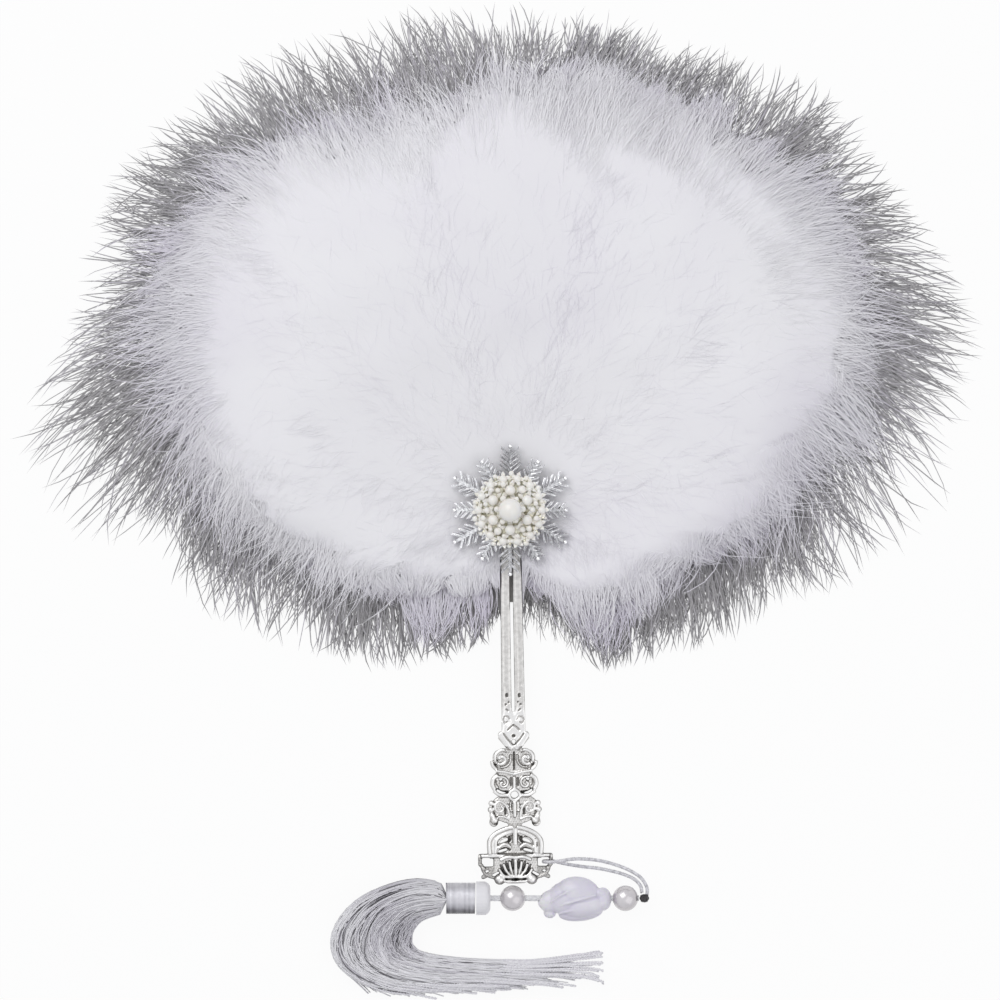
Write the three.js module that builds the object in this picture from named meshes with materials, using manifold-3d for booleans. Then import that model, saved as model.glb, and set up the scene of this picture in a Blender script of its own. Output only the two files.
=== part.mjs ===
// A hand fan of white plumes on a cast silver handle, with a pearl and snowflake boss and a beaded tassel.
// Millimetres. The fan lies on its back: +X to its right, +Y to its crown, +Z towards the viewer.
// Until the last lines the middle of the boss is at X = 0, Y = 0 and the table is at Z = 0.

import * as THREE from 'three';
import { mergeVertices } from 'three/addons/utils/BufferGeometryUtils.js';
import Module from 'manifold-3d';

const wasm = await Module();
wasm.setup();

// Clearances
const fitGap = 0.3; // between pieces that seat on each other
const pileGap = 0.5; // between layers of plumes, and between neighbours in a layer

// Reach of the rim from the middle of the boss, going down from the crown on both sides
const crownReach = 187;
const shoulderReach = 194;
const flankReach = 180;
const sideReach = 166;
const underarmReach = 126;
const lowerReach = 99;
const hipReach = 72;
const cleftReach = 60;

// Plume layers, from the table up
const rootRadius = 15; // where the quills start, clear of the boss's pad and the rear patch
const rearRootThickness = 2.4;
const rearTipThickness = 1.4;
const middleRootThickness = 2.2;
const middleTipThickness = 1.5;
const middleSwell = 8; // how much the pile rises between root and tip
const frontRootThickness = 2.2;
const frontTipThickness = 1.5;
const frontSwell = 9;
const barbDepth = 0.14; // share of a plume's half breadth that its notches take
const edgeFullness = 0.7; // height of a plume at its edges, as a share of its height at the quill
const plumeSteps = 10;

// Core board and rear patch
const coreRadius = 45;
const coreThickness = 1.2;
const tongueWidth = 5.6;
const tongueLength = 34; // from the middle of the boss, under the stem
const patchMargin = 2; // between the rear patch and the quills

// Handle, from the boss down: lengths along its axis
const handleLean = 0.9; // degrees, foot towards +X
const tangLength = 8; // past the middle of the boss
const stemLength = 75;
const collarLength = 13;
const shoulderLength = 17;
const waistLength = 12.6;
const domeLength = 9.9;
const footLength = 10;

// Handle: full breadths
const stemTopWidth = 7.4;
const stemFootWidth = 8.7;
const slotWidth = 1.15;
const collarWidth = 11.6;
const keelWidth = 5.2;
const shoulderWidth = 16.6;
const hornWidth = 17;
const waistWidth = 19;
const domeWidth = 20.8;
const footWidth = 13.4;
const earSpan = 27.6;

// Handle: levels and small sizes
const stemThickness = 3;
const castThickness = 5.6; // of the flat scrollwork
const reliefThickness = 7.6; // of the raised scrolls
const earThickness = 3.6;
const earBar = 1.4;
const earHoleWidth = 4.2;
const earHoleHeight = 3.3;
const earLip = 1.2; // of the ear below its eyelet
const earChamfer = 1.8;
const strutDrop = 2.6; // from the ear's lower edge to the strut's end
const strutRadius = 0.75;
const flangeRadius = 0.7; // half the width of the plate that joins the ears
const leafRadius = 1.1; // half the width of a collar leaf
const curlRadius = 3;
const curlHole = 1;
const hornRadius = 0.7;
const scrollRadius = 1.7;
const limbRadius = 1.2;
const browRadius = 1;
const eyeRadius = 0.55; // half the width of the small slots
const footBallRadius = 2;
const footLip = 1; // half the width of the bar across the foot
const roundHoleRadius = 1.45;

// Boss
const padMargin = 3; // between the pad and the quills
const largeFlakeRadius = 24;
const smallFlakeRadius = 21;
const flakeThickness = 1;
const flakeRib = 1.3; // width of an arm's spine
const flakeBarb = 0.8; // width of a side barb
const flakeHub = 9;
const barbPairs = 4;
const cupThickness = 1.1;
const cupBossHeight = 1.4;
const cupBossRadius = 2.6;
const centrePearlDiameter = 8.6;
const innerPearlDiameter = 4.2;
const innerPearls = 6;
const seedBeadDiameter = 3;
const seedBeads = 14;
const seedWire = 0.9;
const pearlSpacing = 0.8;

// Drop
const cordDiameter = 1.4;
const stringDiameter = 2.2; // the cord laid double through the beads
const pearlDiameter = 9.8;
const boreClearance = 0.3;
const beadLength = 27;
const beadBreadth = 18;
const beadDepth = 12.2;
const beadPetals = 5;
const lowerLink = 4.4; // bare string between the lower pearl and the carved bead
const tasselLink = 3.3; // bare string between the lower pearl and the tassel
const knotLength = 3.6;
const knotDiameter = 3;
const capDiameter = 12.5;
const capLength = 5.2;
const capSeat = 1.5; // how far the string goes into the cap
const tasselSwing = 20; // degrees that the tassel turns about the string's end
const neckDiameter = 10.6;
const bindingLength = 11;
const bindingThread = 0.6;
const bindingTurns = 9;
const skirtDepth = 12;
const skirtLobes = 8;

// Finishes
function finish(color, roughness, metalness) {
  return new THREE.MeshStandardMaterial({ color, roughness, metalness });
}

const finishes = {
  rearPlume: finish(0xb9b7bd, 0.9, 0),
  frontPlume: finish(0xeeedf3, 0.9, 0),
  board: finish(0xd9cdb6, 0.85, 0),
  felt: finish(0xf2f1f2, 0.95, 0),
  silver: finish(0xc9c9cb, 0.25, 1),
  pearl: finish(0xf3ecdf, 0.25, 0),
  whitePearl: finish(0xf1eff0, 0.25, 0),
  resin: finish(0xd9d5e8, 0.35, 0),
  cord: finish(0xe6e4e6, 0.7, 0),
  knot: finish(0x5a5658, 0.6, 0),
  silk: finish(0xe9e8ee, 0.5, 0),
  silverThread: finish(0xb9b8bd, 0.4, 0.3),
};

const fan = new THREE.Group();
const plumes = new THREE.Group();
const handle = new THREE.Group();
const boss = new THREE.Group();
const drop = new THREE.Group();
fan.add(plumes, handle, boss, drop);

function addMesh(group, name, geometry, material) {
  const mesh = new THREE.Mesh(geometry, material);
  mesh.name = name;
  group.add(mesh);
  return mesh;
}

// Solids: joining and cutting closed meshes

function toSolid(geometry) {
  const bare = geometry.clone();
  for (const attribute of Object.keys(bare.attributes)) {
    if (attribute !== 'position') bare.deleteAttribute(attribute);
  }
  const merged = mergeVertices(bare, 1e-4);
  const triangles = [];
  for (let i = 0; i < merged.index.count; i += 3) {
    const [a, b, c] = [0, 1, 2].map((corner) => merged.index.getX(i + corner));
    if (a !== b && b !== c && c !== a) triangles.push(a, b, c);
  }
  return new wasm.Manifold(new wasm.Mesh({
    numProp: 3,
    vertProperties: new Float32Array(merged.attributes.position.array),
    triVerts: new Uint32Array(triangles),
  }));
}

function toGeometry(solid) {
  const mesh = solid.getMesh();
  return meshGeometry(mesh.vertProperties, mesh.triVerts);
}

function meshGeometry(positions, triangles) {
  const geometry = new THREE.BufferGeometry();
  geometry.setAttribute('position', new THREE.BufferAttribute(new Float32Array(positions), 3));
  geometry.setIndex(new THREE.BufferAttribute(new Uint32Array(triangles), 1));
  geometry.computeVertexNormals();
  return geometry;
}

const joined = (solids) => solids.reduce((whole, solid) => whole.add(solid));

// A closed skin over rings of points, each ring with the same number of points in the same sense.
// The ends are capped, or joined to each other when the rings go all the way round.
function loft(rings, goesRound = false) {
  const sides = rings[0].length;
  const positions = rings.flat().flatMap((point) => [point.x, point.y, point.z]);
  const triangles = [];
  for (let ring = 0; ring + (goesRound ? 0 : 1) < rings.length; ring += 1) {
    const here = ring * sides;
    const next = ((ring + 1) % rings.length) * sides;
    for (let side = 0; side < sides; side += 1) {
      const other = (side + 1) % sides;
      triangles.push(here + side, here + other, next + other, here + side, next + other, next + side);
    }
  }
  if (goesRound) return meshGeometry(positions, triangles);
  const last = (rings.length - 1) * sides;
  for (let side = 1; side + 1 < sides; side += 1) {
    triangles.push(0, side + 1, side);
    triangles.push(last, last + side, last + side + 1);
  }
  return meshGeometry(positions, triangles);
}

// Flat pieces drawn in X and Y and given a bottom and a top level

function slab(shape, bottom, top, pointsRound = 20) {
  const settings = { depth: top - bottom, bevelEnabled: false, curveSegments: pointsRound / 2 };
  return new THREE.ExtrudeGeometry(shape, settings).translate(0, 0, bottom);
}

function outline(points) {
  const corners = points.map(([x, y]) => new THREE.Vector2(x, y));
  return new THREE.Shape(THREE.ShapeUtils.isClockWise(corners) ? corners.reverse() : corners);
}

const oval = (x, y, radiusX, radiusY) => new THREE.Shape().absellipse(x, y, radiusX, radiusY, 0, 2 * Math.PI);
const round = (x, y, radius) => oval(x, y, radius, radius);

function bar(x0, y0, x1, y1, radius) {
  const heading = Math.atan2(y1 - y0, x1 - x0);
  const shape = new THREE.Shape();
  shape.absarc(x1, y1, radius, heading - Math.PI / 2, heading + Math.PI / 2);
  shape.absarc(x0, y0, radius, heading + Math.PI / 2, heading + 1.5 * Math.PI);
  return shape;
}

// Plumes

const rimPoints = [
  [0, crownReach],
  [45, shoulderReach],
  [75, flankReach],
  [90, sideReach],
  [105, underarmReach],
  [120, lowerReach],
  [150, hipReach],
  [180, cleftReach],
];

// Reach of the rim at an angle in degrees, counted from +X towards +Y
function reachAt(angle) {
  const away = Math.abs(THREE.MathUtils.euclideanModulo(angle - 90 + 180, 360) - 180);
  const next = Math.max(1, rimPoints.findIndex(([stop]) => stop >= away));
  const [from, fromReach] = rimPoints[next - 1];
  const [to, toReach] = rimPoints[next];
  return THREE.MathUtils.mapLinear(away, from, to, fromReach, toReach);
}

const padRadius = rootRadius - padMargin;
const coreBottom = rearRootThickness + fitGap;
const coreTop = coreBottom + coreThickness;
const pileFloor = coreTop + fitGap; // the stem and the middle plumes both lie on the core board

const layers = {
  rear: {
    count: 13,
    span: 325,
    share: 1,
    root: rearRootThickness,
    tip: rearTipThickness,
    swell: 0,
    floor: () => 0,
    material: finishes.rearPlume,
  },
  middle: {
    count: 12,
    span: 300,
    share: 0.96,
    root: middleRootThickness,
    tip: middleTipThickness,
    swell: middleSwell,
    floor: () => pileFloor,
    material: finishes.frontPlume,
  },
  front: {
    count: 9,
    span: 288,
    share: 0.84,
    root: frontRootThickness,
    tip: frontTipThickness,
    swell: frontSwell,
    floor: (radius, angle) => topOf(layers.middle, radius, angle) + pileGap,
    material: finishes.frontPlume,
  },
};

// Thickest that a layer is at a place, and the level of its top there
function thicknessOf(layer, radius, angle) {
  const reach = reachAt(angle);
  const along = (radius - rootRadius) / (layer.share * reach - rootRadius);
  const share = THREE.MathUtils.clamp(along, 0, 1);
  const rise = Math.sin(Math.PI * share ** 1.2) * layer.swell * (reach / crownReach);
  return THREE.MathUtils.lerp(layer.root, layer.tip, share) + rise;
}

const topOf = (layer, radius, angle) => layer.floor(radius, angle) + thicknessOf(layer, radius, angle);

// One plume: a full leaf with a crowned top, a ridge over its quill and notched edges
function plumeGeometry(layer, angle) {
  const halfPitch = THREE.MathUtils.degToRad(layer.span / layer.count / 2);
  const length = layer.share * reachAt(angle);
  const roundFrom = 0.68;
  const tipBreadth = 0.08;
  const shoulder = THREE.MathUtils.lerp(edgeFullness, 1, 0.75);
  const crown = [edgeFullness, shoulder, 1, shoulder, edgeFullness];
  const axis = THREE.MathUtils.degToRad(angle);
  const rings = [];
  for (let step = 0; step <= plumeSteps; step += 1) {
    const share = step / plumeSteps;
    const along = THREE.MathUtils.lerp(rootRadius, length, share);
    const sector = along * Math.tan(halfPitch) - pileGap / 2 / Math.cos(halfPitch);
    const rounding = Math.max(0, (share - roundFrom) / (1 - roundFrom));
    const notch = step % 2 ? 1 : 1 - barbDepth;
    const half = sector * notch * Math.max(tipBreadth, Math.sqrt(1 - rounding ** 2));
    const place = (across, lift) => {
      const radius = Math.hypot(along, across);
      const bearing = angle + THREE.MathUtils.radToDeg(Math.atan2(across, along));
      const level = layer.floor(radius, bearing) + lift * thicknessOf(layer, radius, bearing);
      const x = along * Math.cos(axis) - across * Math.sin(axis);
      const y = along * Math.sin(axis) + across * Math.cos(axis);
      return new THREE.Vector3(x, y, level);
    };
    const top = crown.map((lift, index) => place(half * (1 - index / 2), lift));
    rings.push([...top, place(-half, 0), place(0, 0), place(half, 0)]);
  }
  return loft(rings);
}

for (const [name, layer] of Object.entries(layers)) {
  const pitch = layer.span / layer.count;
  for (let index = 0; index < layer.count; index += 1) {
    const angle = 90 - layer.span / 2 + pitch * (index + 0.5);
    addMesh(plumes, `${name}_plume_${index + 1}`, plumeGeometry(layer, angle), layer.material);
  }
}

// Core board, with a tongue under the stem, and the patch that backs it

function coreShape() {
  const shape = new THREE.Shape();
  const side = tongueWidth / 2;
  const start = THREE.MathUtils.degToRad(-25);
  shape.moveTo(side, -tongueLength);
  shape.lineTo(side, -rootRadius);
  shape.absarc(0, 0, coreRadius, start, Math.PI - start);
  shape.lineTo(-side, -rootRadius);
  shape.lineTo(-side, -tongueLength);
  return shape;
}

addMesh(handle, 'core_board', slab(coreShape(), coreBottom, coreTop, 40), finishes.board);
const patch = slab(round(0, 0, rootRadius - patchMargin), 0, rearRootThickness, 32);
addMesh(plumes, 'rear_patch', patch, finishes.felt);

// Handle: the scrollwork is drawn with its axis along -Y and mirrored to both sides

const stemBottom = pileFloor;
const stemTop = stemBottom + stemThickness;
const neckAt = stemLength + collarLength;
const shoulderEnd = neckAt + shoulderLength;
const waistEnd = shoulderEnd + waistLength;
const domeEnd = waistEnd + domeLength;
const handleEnd = domeEnd + footLength;
const earMiddle = reliefThickness / 2;
const earBottom = earMiddle - earThickness / 2;
const earTop = earMiddle + earThickness / 2;
const earBarAt = (earSpan - earBar) / 2;
const earHoleOuter = earSpan / 2 - earBar;
const earHoleInner = earHoleOuter - earHoleWidth;
const earHoleTop = domeEnd + flangeRadius;
const earHoleMiddle = earHoleTop + earHoleHeight / 2;
const earEnd = earHoleTop + earHoleHeight + earLip;

const both = (draw) => [draw(1), draw(-1)];

function stemSolids() {
  const notch = 1.2;
  const pointLength = 4;
  const blade = outline([
    [-stemTopWidth / 2, tangLength],
    [-stemFootWidth / 2, -stemLength],
    [-stemFootWidth / 2, -neckAt + pointLength],
    [0, -neckAt],
    [stemFootWidth / 2, -neckAt + pointLength],
    [stemFootWidth / 2, -stemLength],
    [stemTopWidth / 2, tangLength],
  ]);
  const slot = [
    [-slotWidth / 2, -padRadius],
    [slotWidth / 2, -padRadius],
    [slotWidth / 2, -stemLength + notch],
    [0, -stemLength],
    [-slotWidth / 2, -stemLength + notch],
  ];
  blade.holes.push(outline(slot));
  const spikeTop = -neckAt + 0.85 * pointLength;
  blade.holes.push(outline([[-1, spikeTop], [1, spikeTop], [0, -neckAt + 0.3 * pointLength]]));
  return [slab(blade, stemBottom, stemTop)];
}

function collarSolids() {
  const tipX = collarWidth / 2 - leafRadius;
  const tipY = -neckAt + 0.4 * collarLength;
  const baseX = 0.36 * keelWidth;
  const baseY = -neckAt + 0.05 * collarLength;
  const leaf = (side) => bar(side * baseX, baseY, side * tipX, tipY, leafRadius);
  return both((side) => slab(leaf(side), stemBottom / 2, reliefThickness, 8));
}

// A keel runs through the whole base and carries the scrolls
function keelSolid() {
  const half = keelWidth / 2;
  const top = -neckAt + 0.3 * keelWidth;
  const foot = -handleEnd + footLip;
  return slab(outline([[-half, top], [-half, foot], [half, foot], [half, top]]), 0, castThickness);
}

function shoulderSolids() {
  const curlAt = neckAt + 0.2 * shoulderLength;
  const curlX = shoulderWidth / 2 - curlRadius - 0.4;
  const curl = round(0, 0, curlRadius);
  curl.holes.push(round(0, 0, curlHole));
  const curls = both((side) => slab(curl, 0, reliefThickness, 14).translate(side * curlX, -curlAt, 0));
  const hornY = neckAt + 0.36 * shoulderLength;
  const hornX = hornWidth / 2 - hornRadius;
  const hornRun = 3 * hornRadius;
  const horn = (side) => bar(side * (hornX - hornRun), -hornY - hornRun, side * hornX, -hornY, hornRadius);
  const horns = both((side) => slab(horn(side), 0, castThickness, 8));
  const bodyWidth = 0.75 * shoulderWidth;
  const bodyShape = oval(0, -neckAt - 0.42 * shoulderLength, bodyWidth / 2, 0.32 * shoulderLength);
  const body = slab(bodyShape, 0, castThickness, 20);
  const hip = oval(0, -neckAt - 0.7 * shoulderLength, shoulderWidth / 2, 0.28 * shoulderLength);
  for (const side of [1, -1]) {
    const innerX = side * 0.22 * shoulderWidth;
    const outerX = side * 0.31 * shoulderWidth;
    const upper = -neckAt - 0.6 * shoulderLength;
    hip.holes.push(bar(innerX, upper, outerX, upper - 0.07 * shoulderLength, eyeRadius));
  }
  return [...curls, ...horns, body, slab(hip, 0, castThickness, 20)];
}

function waistSolids() {
  const middle = shoulderEnd + 0.4 * waistLength;
  const body = slab(oval(0, -middle, waistWidth / 2 - 0.5, 0.46 * waistLength), 0, castThickness, 22);
  const scrollAt = shoulderEnd + 0.8 * waistLength;
  const scrollX = waistWidth / 2 - scrollRadius;
  const limbX = waistWidth / 2 - limbRadius;
  const scroll = (side) => round(side * scrollX, -scrollAt, scrollRadius);
  const scrolls = both((side) => slab(scroll(side), 0, reliefThickness, 12));
  const limb = (side) => bar(side * scrollX, -scrollAt, side * limbX, -middle, limbRadius);
  const limbs = both((side) => slab(limb(side), 0, reliefThickness, 8));
  return [body, ...scrolls, ...limbs];
}

function domeSolids() {
  const half = domeWidth / 2;
  const shape = new THREE.Shape();
  shape.moveTo(-half + 0.4, -domeEnd);
  shape.lineTo(-half, -waistEnd - 0.5 * domeLength);
  shape.quadraticCurveTo(-half + 0.6, -waistEnd - 0.15 * domeLength, -keelWidth / 2 - 1, -waistEnd + 0.4);
  shape.lineTo(keelWidth / 2 + 1, -waistEnd + 0.4);
  shape.quadraticCurveTo(half - 0.6, -waistEnd - 0.15 * domeLength, half, -waistEnd - 0.5 * domeLength);
  shape.lineTo(half - 0.4, -domeEnd);
  for (const side of [1, -1]) {
    const innerX = side * 0.33 * half;
    const outerX = side * 0.57 * half;
    const upper = -waistEnd - 0.4 * domeLength;
    shape.holes.push(bar(innerX, upper, outerX, upper - 0.09 * domeLength, 1.4 * eyeRadius));
    const lower = -waistEnd - 0.78 * domeLength;
    shape.holes.push(bar(innerX, lower, outerX, lower - 0.07 * domeLength, eyeRadius));
  }
  const cornerX = half - browRadius;
  const cornerY = -waistEnd - 0.48 * domeLength;
  const bandShape = (side) => bar(side * cornerX, cornerY, side * (cornerX - 0.4), -domeEnd, browRadius);
  const browShape = (side) => bar(side * cornerX, cornerY, side * 0.3 * half, -waistEnd - 0.6, browRadius);
  const bands = both((side) => slab(bandShape(side), 0, reliefThickness, 8));
  const brows = both((side) => slab(browShape(side), 0, reliefThickness, 8));
  return [slab(shape, 0, castThickness, 12), ...bands, ...brows];
}

function footSolids() {
  const middle = domeEnd + 0.42 * footLength;
  const body = slab(oval(0, -middle, footWidth / 2, 0.5 * footLength), 0, castThickness, 22);
  const lipX = keelWidth / 2 + 0.6 * footLip;
  const lip = bar(-lipX, -handleEnd + footLip, lipX, -handleEnd + footLip, footLip);
  const ballAt = handleEnd - 0.7 * footBallRadius;
  const ballLevel = castThickness - 0.7 * footBallRadius;
  const balls = both((side) => new THREE.SphereGeometry(footBallRadius, 10, 8)
    .translate(side * 0.44 * footWidth, -ballAt, ballLevel));
  const flangeX = earSpan / 2 - flangeRadius;
  const flange = bar(-flangeX, -domeEnd, flangeX, -domeEnd, flangeRadius);
  return [body, slab(lip, 0, castThickness, 8), slab(flange, earBottom, earTop, 8), ...balls];
}

// The ears carry an eyelet each, for the drop's cord
function earSolids() {
  const web = footWidth / 2 - 2;
  const eye = (side) => {
    const shape = outline([
      [side * web, -domeEnd],
      [side * earSpan / 2, -domeEnd],
      [side * earSpan / 2, -earEnd + earChamfer],
      [side * (earSpan / 2 - earChamfer), -earEnd],
      [side * web, -earEnd],
    ]);
    shape.holes.push(outline([
      [side * earHoleInner, -earHoleTop],
      [side * earHoleOuter, -earHoleTop],
      [side * earHoleOuter, -earHoleTop - earHoleHeight + earChamfer / 2],
      [side * (earHoleOuter - earChamfer / 2), -earHoleTop - earHoleHeight],
      [side * earHoleInner, -earHoleTop - earHoleHeight],
    ]));
    return slab(shape, earBottom, earTop);
  };
  const strutTop = -earEnd + strutRadius;
  const strutX = earSpan / 2 - earChamfer;
  const strut = (side) => bar(side * (web + 1), strutTop, side * strutX, -earEnd - strutDrop, strutRadius);
  return [...both(eye), ...both((side) => slab(strut(side), earBottom, earTop, 8))];
}

function castingGeometry() {
  const pieces = [
    ...stemSolids(),
    ...collarSolids(),
    keelSolid(),
    ...shoulderSolids(),
    ...waistSolids(),
    ...domeSolids(),
    ...footSolids(),
    ...earSolids(),
  ];
  const whole = joined(pieces.map(toSolid));
  const through = (shape) => toSolid(slab(shape, -1, reliefThickness + 1, 14));
  const cuts = [round(0, -shoulderEnd, roundHoleRadius)];
  for (const side of [1, -1]) {
    const top = -shoulderEnd - 0.3 * waistLength;
    cuts.push(outline([[side * 1.7, top - 1.2], [side * 3.5, top - 1.2], [side * 2.8, top + 0.7]]));
  }
  return toGeometry(whole.subtract(joined(cuts.map(through))));
}

addMesh(handle, 'handle_casting', castingGeometry(), finishes.silver);
handle.rotation.z = THREE.MathUtils.degToRad(handleLean);

// Boss: pad, two snowflakes, cup, seed beads and pearls, stacked on the stem above the plumes' roots

function rootsTop() {
  let top = 0;
  for (let angle = -180; angle < 180; angle += 3) {
    top = Math.max(top, topOf(layers.front, largeFlakeRadius + 1, angle));
  }
  return top;
}

const padBottom = stemTop + fitGap;
const largeFlakeBottom = Math.max(rootsTop(), padBottom + 2) + fitGap;
const smallFlakeBottom = largeFlakeBottom + flakeThickness + fitGap;
const cupBottom = smallFlakeBottom + flakeThickness + fitGap;
const cupTop = cupBottom + cupThickness;

const pad = slab(round(0, 0, padRadius), padBottom, largeFlakeBottom - fitGap, 32);
addMesh(boss, 'boss_pad', pad, finishes.felt);

// Six arms like fishbones: a spine with pairs of slanted barbs that shorten towards the tip
function flakeShape(radius) {
  const lean = Math.PI / 4;
  const half = flakeRib / 2;
  const run = (radius - flakeHub) / (barbPairs + 0.6);
  const points = [];
  const side = (sign) => {
    const edge = [];
    for (let pair = 0; pair < barbPairs; pair += 1) {
      const base = flakeHub + run * (pair + 0.3);
      const barb = run * (1.5 - 0.5 * (pair / barbPairs));
      const rise = barb * Math.cos(lean);
      const width = flakeBarb / Math.cos(lean);
      edge.push([base, sign * half]);
      edge.push([base + rise, sign * (half + rise)]);
      edge.push([base + rise + width, sign * (half + rise)]);
      edge.push([base + width, sign * half]);
    }
    return edge;
  };
  const arm = [...side(-1), [radius, -half / 2], [radius, half / 2], ...side(1).reverse()];
  for (let index = 0; index < 6; index += 1) {
    const turn = (index * Math.PI) / 3;
    for (const [along, across] of arm) {
      const x = along * Math.cos(turn) - across * Math.sin(turn);
      const y = along * Math.sin(turn) + across * Math.cos(turn);
      points.push([x, y]);
    }
    const between = turn + Math.PI / 6;
    points.push([flakeHub * Math.cos(between), flakeHub * Math.sin(between)]);
  }
  return outline(points);
}

const largeFlake = slab(flakeShape(largeFlakeRadius), largeFlakeBottom, largeFlakeBottom + flakeThickness);
const smallFlake = slab(flakeShape(smallFlakeRadius), smallFlakeBottom, smallFlakeBottom + flakeThickness);
addMesh(boss, 'snowflake_large', largeFlake.rotateZ(Math.PI / 6), finishes.silver);
addMesh(boss, 'snowflake_small', smallFlake, finishes.silver);

const innerRing = (centrePearlDiameter + innerPearlDiameter) / 2 + pearlSpacing;
const seedRing = innerRing + (innerPearlDiameter + seedBeadDiameter) / 2 + pearlSpacing;
const cupRadius = seedRing + 0.3 * seedBeadDiameter;

// A dish with a scallop under each seed bead and a boss under the middle pearl
function cupGeometry() {
  const disc = toSolid(slab(round(0, 0, cupRadius), cupBottom, cupTop, 28));
  const post = toSolid(slab(round(0, 0, cupBossRadius), cupBottom, cupTop + cupBossHeight, 12));
  const bites = [];
  for (let index = 0; index < seedBeads; index += 1) {
    const angle = (2 * Math.PI * (index + 0.5)) / seedBeads;
    const bite = round(cupRadius * Math.cos(angle), cupRadius * Math.sin(angle), 0.3 * seedBeadDiameter);
    bites.push(toSolid(slab(bite, cupBottom - 1, cupTop + 1, 8)));
  }
  return toGeometry(disc.add(post).subtract(joined(bites)));
}

addMesh(boss, 'filigree_cup', cupGeometry(), finishes.silver);

const ball = (diameter, across, around) => new THREE.SphereGeometry(diameter / 2, across, around);

// Seed beads on a wire hoop, as one skin whose girth swells at each bead
function seedRingGeometry() {
  const level = cupTop + fitGap + seedBeadDiameter / 2;
  const beadRadius = seedBeadDiameter / 2;
  const sides = 6;
  const rings = [];
  for (let index = 0; index < seedBeads; index += 1) {
    for (const offset of [-1, -0.72, 0, 0.72, 1]) {
      const angle = (2 * Math.PI * index) / seedBeads + (offset * beadRadius) / seedRing;
      const girth = Math.max(seedWire / 2, beadRadius * Math.sqrt(1 - offset ** 2));
      const ring = [];
      for (let side = 0; side < sides; side += 1) {
        const turn = (2 * Math.PI * side) / sides;
        const radius = seedRing + girth * Math.cos(turn);
        const height = level - girth * Math.sin(turn);
        ring.push(new THREE.Vector3(radius * Math.cos(angle), radius * Math.sin(angle), height));
      }
      rings.push(ring);
    }
  }
  return loft(rings, true);
}

addMesh(boss, 'seed_bead_ring', seedRingGeometry(), finishes.pearl);

for (let index = 0; index < innerPearls; index += 1) {
  const angle = (2 * Math.PI * index) / innerPearls + Math.PI / 6;
  const pearl = addMesh(boss, `inner_pearl_${index + 1}`, ball(innerPearlDiameter, 10, 7), finishes.pearl);
  const level = cupTop + fitGap + innerPearlDiameter / 2;
  pearl.position.set(innerRing * Math.cos(angle), innerRing * Math.sin(angle), level);
}

const centrePearl = addMesh(boss, 'centre_pearl', ball(centrePearlDiameter, 14, 10), finishes.pearl);
centrePearl.position.z = cupTop + cupBossHeight + fitGap + centrePearlDiameter / 2;

// Drop: a level string of beads below the handle's foot, hung by a loop through the right ear

const strutEnd = earEnd + strutDrop + strutRadius;
const toFan = (x, down, level) => new THREE.Vector3(x, -down, level)
  .applyAxisAngle(new THREE.Vector3(0, 0, 1), THREE.MathUtils.degToRad(handleLean));
const footMiddle = toFan(0, handleEnd, 0);
const stringLevel = Math.max(capDiameter, beadDepth, pearlDiameter) / 2 + 0.05;
const stringY = Math.min(-strutEnd - capDiameter / 2, footMiddle.y - pearlDiameter / 2) - 2 * fitGap;
const lowerPearlX = footMiddle.x - 1.2;
const beadLeft = lowerPearlX + pearlDiameter / 2 + lowerLink;
const upperPearlX = beadLeft + beadLength + fitGap + pearlDiameter / 2;
const knotX = upperPearlX + pearlDiameter / 2 + fitGap + knotLength / 2;
const capRight = lowerPearlX - pearlDiameter / 2 - tasselLink;
const capLeft = capRight - capLength;
const bindingLeft = capLeft - fitGap - bindingLength;
const boreRadius = stringDiameter / 2 + boreClearance;
const swing = THREE.MathUtils.degToRad(tasselSwing);
const capBoreDepth = capSeat + (stringDiameter / 2) * Math.sin(swing) + fitGap;
const capMouth = stringDiameter / 2 / Math.cos(swing) + capSeat * Math.tan(swing) + boreClearance;

drop.position.set(0, stringY, stringLevel); // the string runs along the drop group's X axis

// A profile of [radius, along] turned about X
function turned(profile, segments) {
  const points = profile.map(([radius, along]) => new THREE.Vector2(radius, along));
  return new THREE.LatheGeometry(points, segments).rotateZ(-Math.PI / 2);
}

function boredBall(diameter, bore) {
  const radius = diameter / 2;
  const mouth = Math.asin(bore / radius);
  const profile = [];
  const steps = 9;
  for (let step = 0; step <= steps; step += 1) {
    const angle = Math.PI - mouth - ((Math.PI - 2 * mouth) * step) / steps;
    profile.push([radius * Math.sin(angle), radius * Math.cos(angle)]);
  }
  profile.push(profile[0]);
  return turned(profile, 14);
}

const stringPearl = boredBall(pearlDiameter, boreRadius);
addMesh(drop, 'pearl_lower', stringPearl, finishes.whitePearl).position.x = lowerPearlX;
addMesh(drop, 'pearl_upper', stringPearl, finishes.whitePearl).position.x = upperPearlX;

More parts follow.
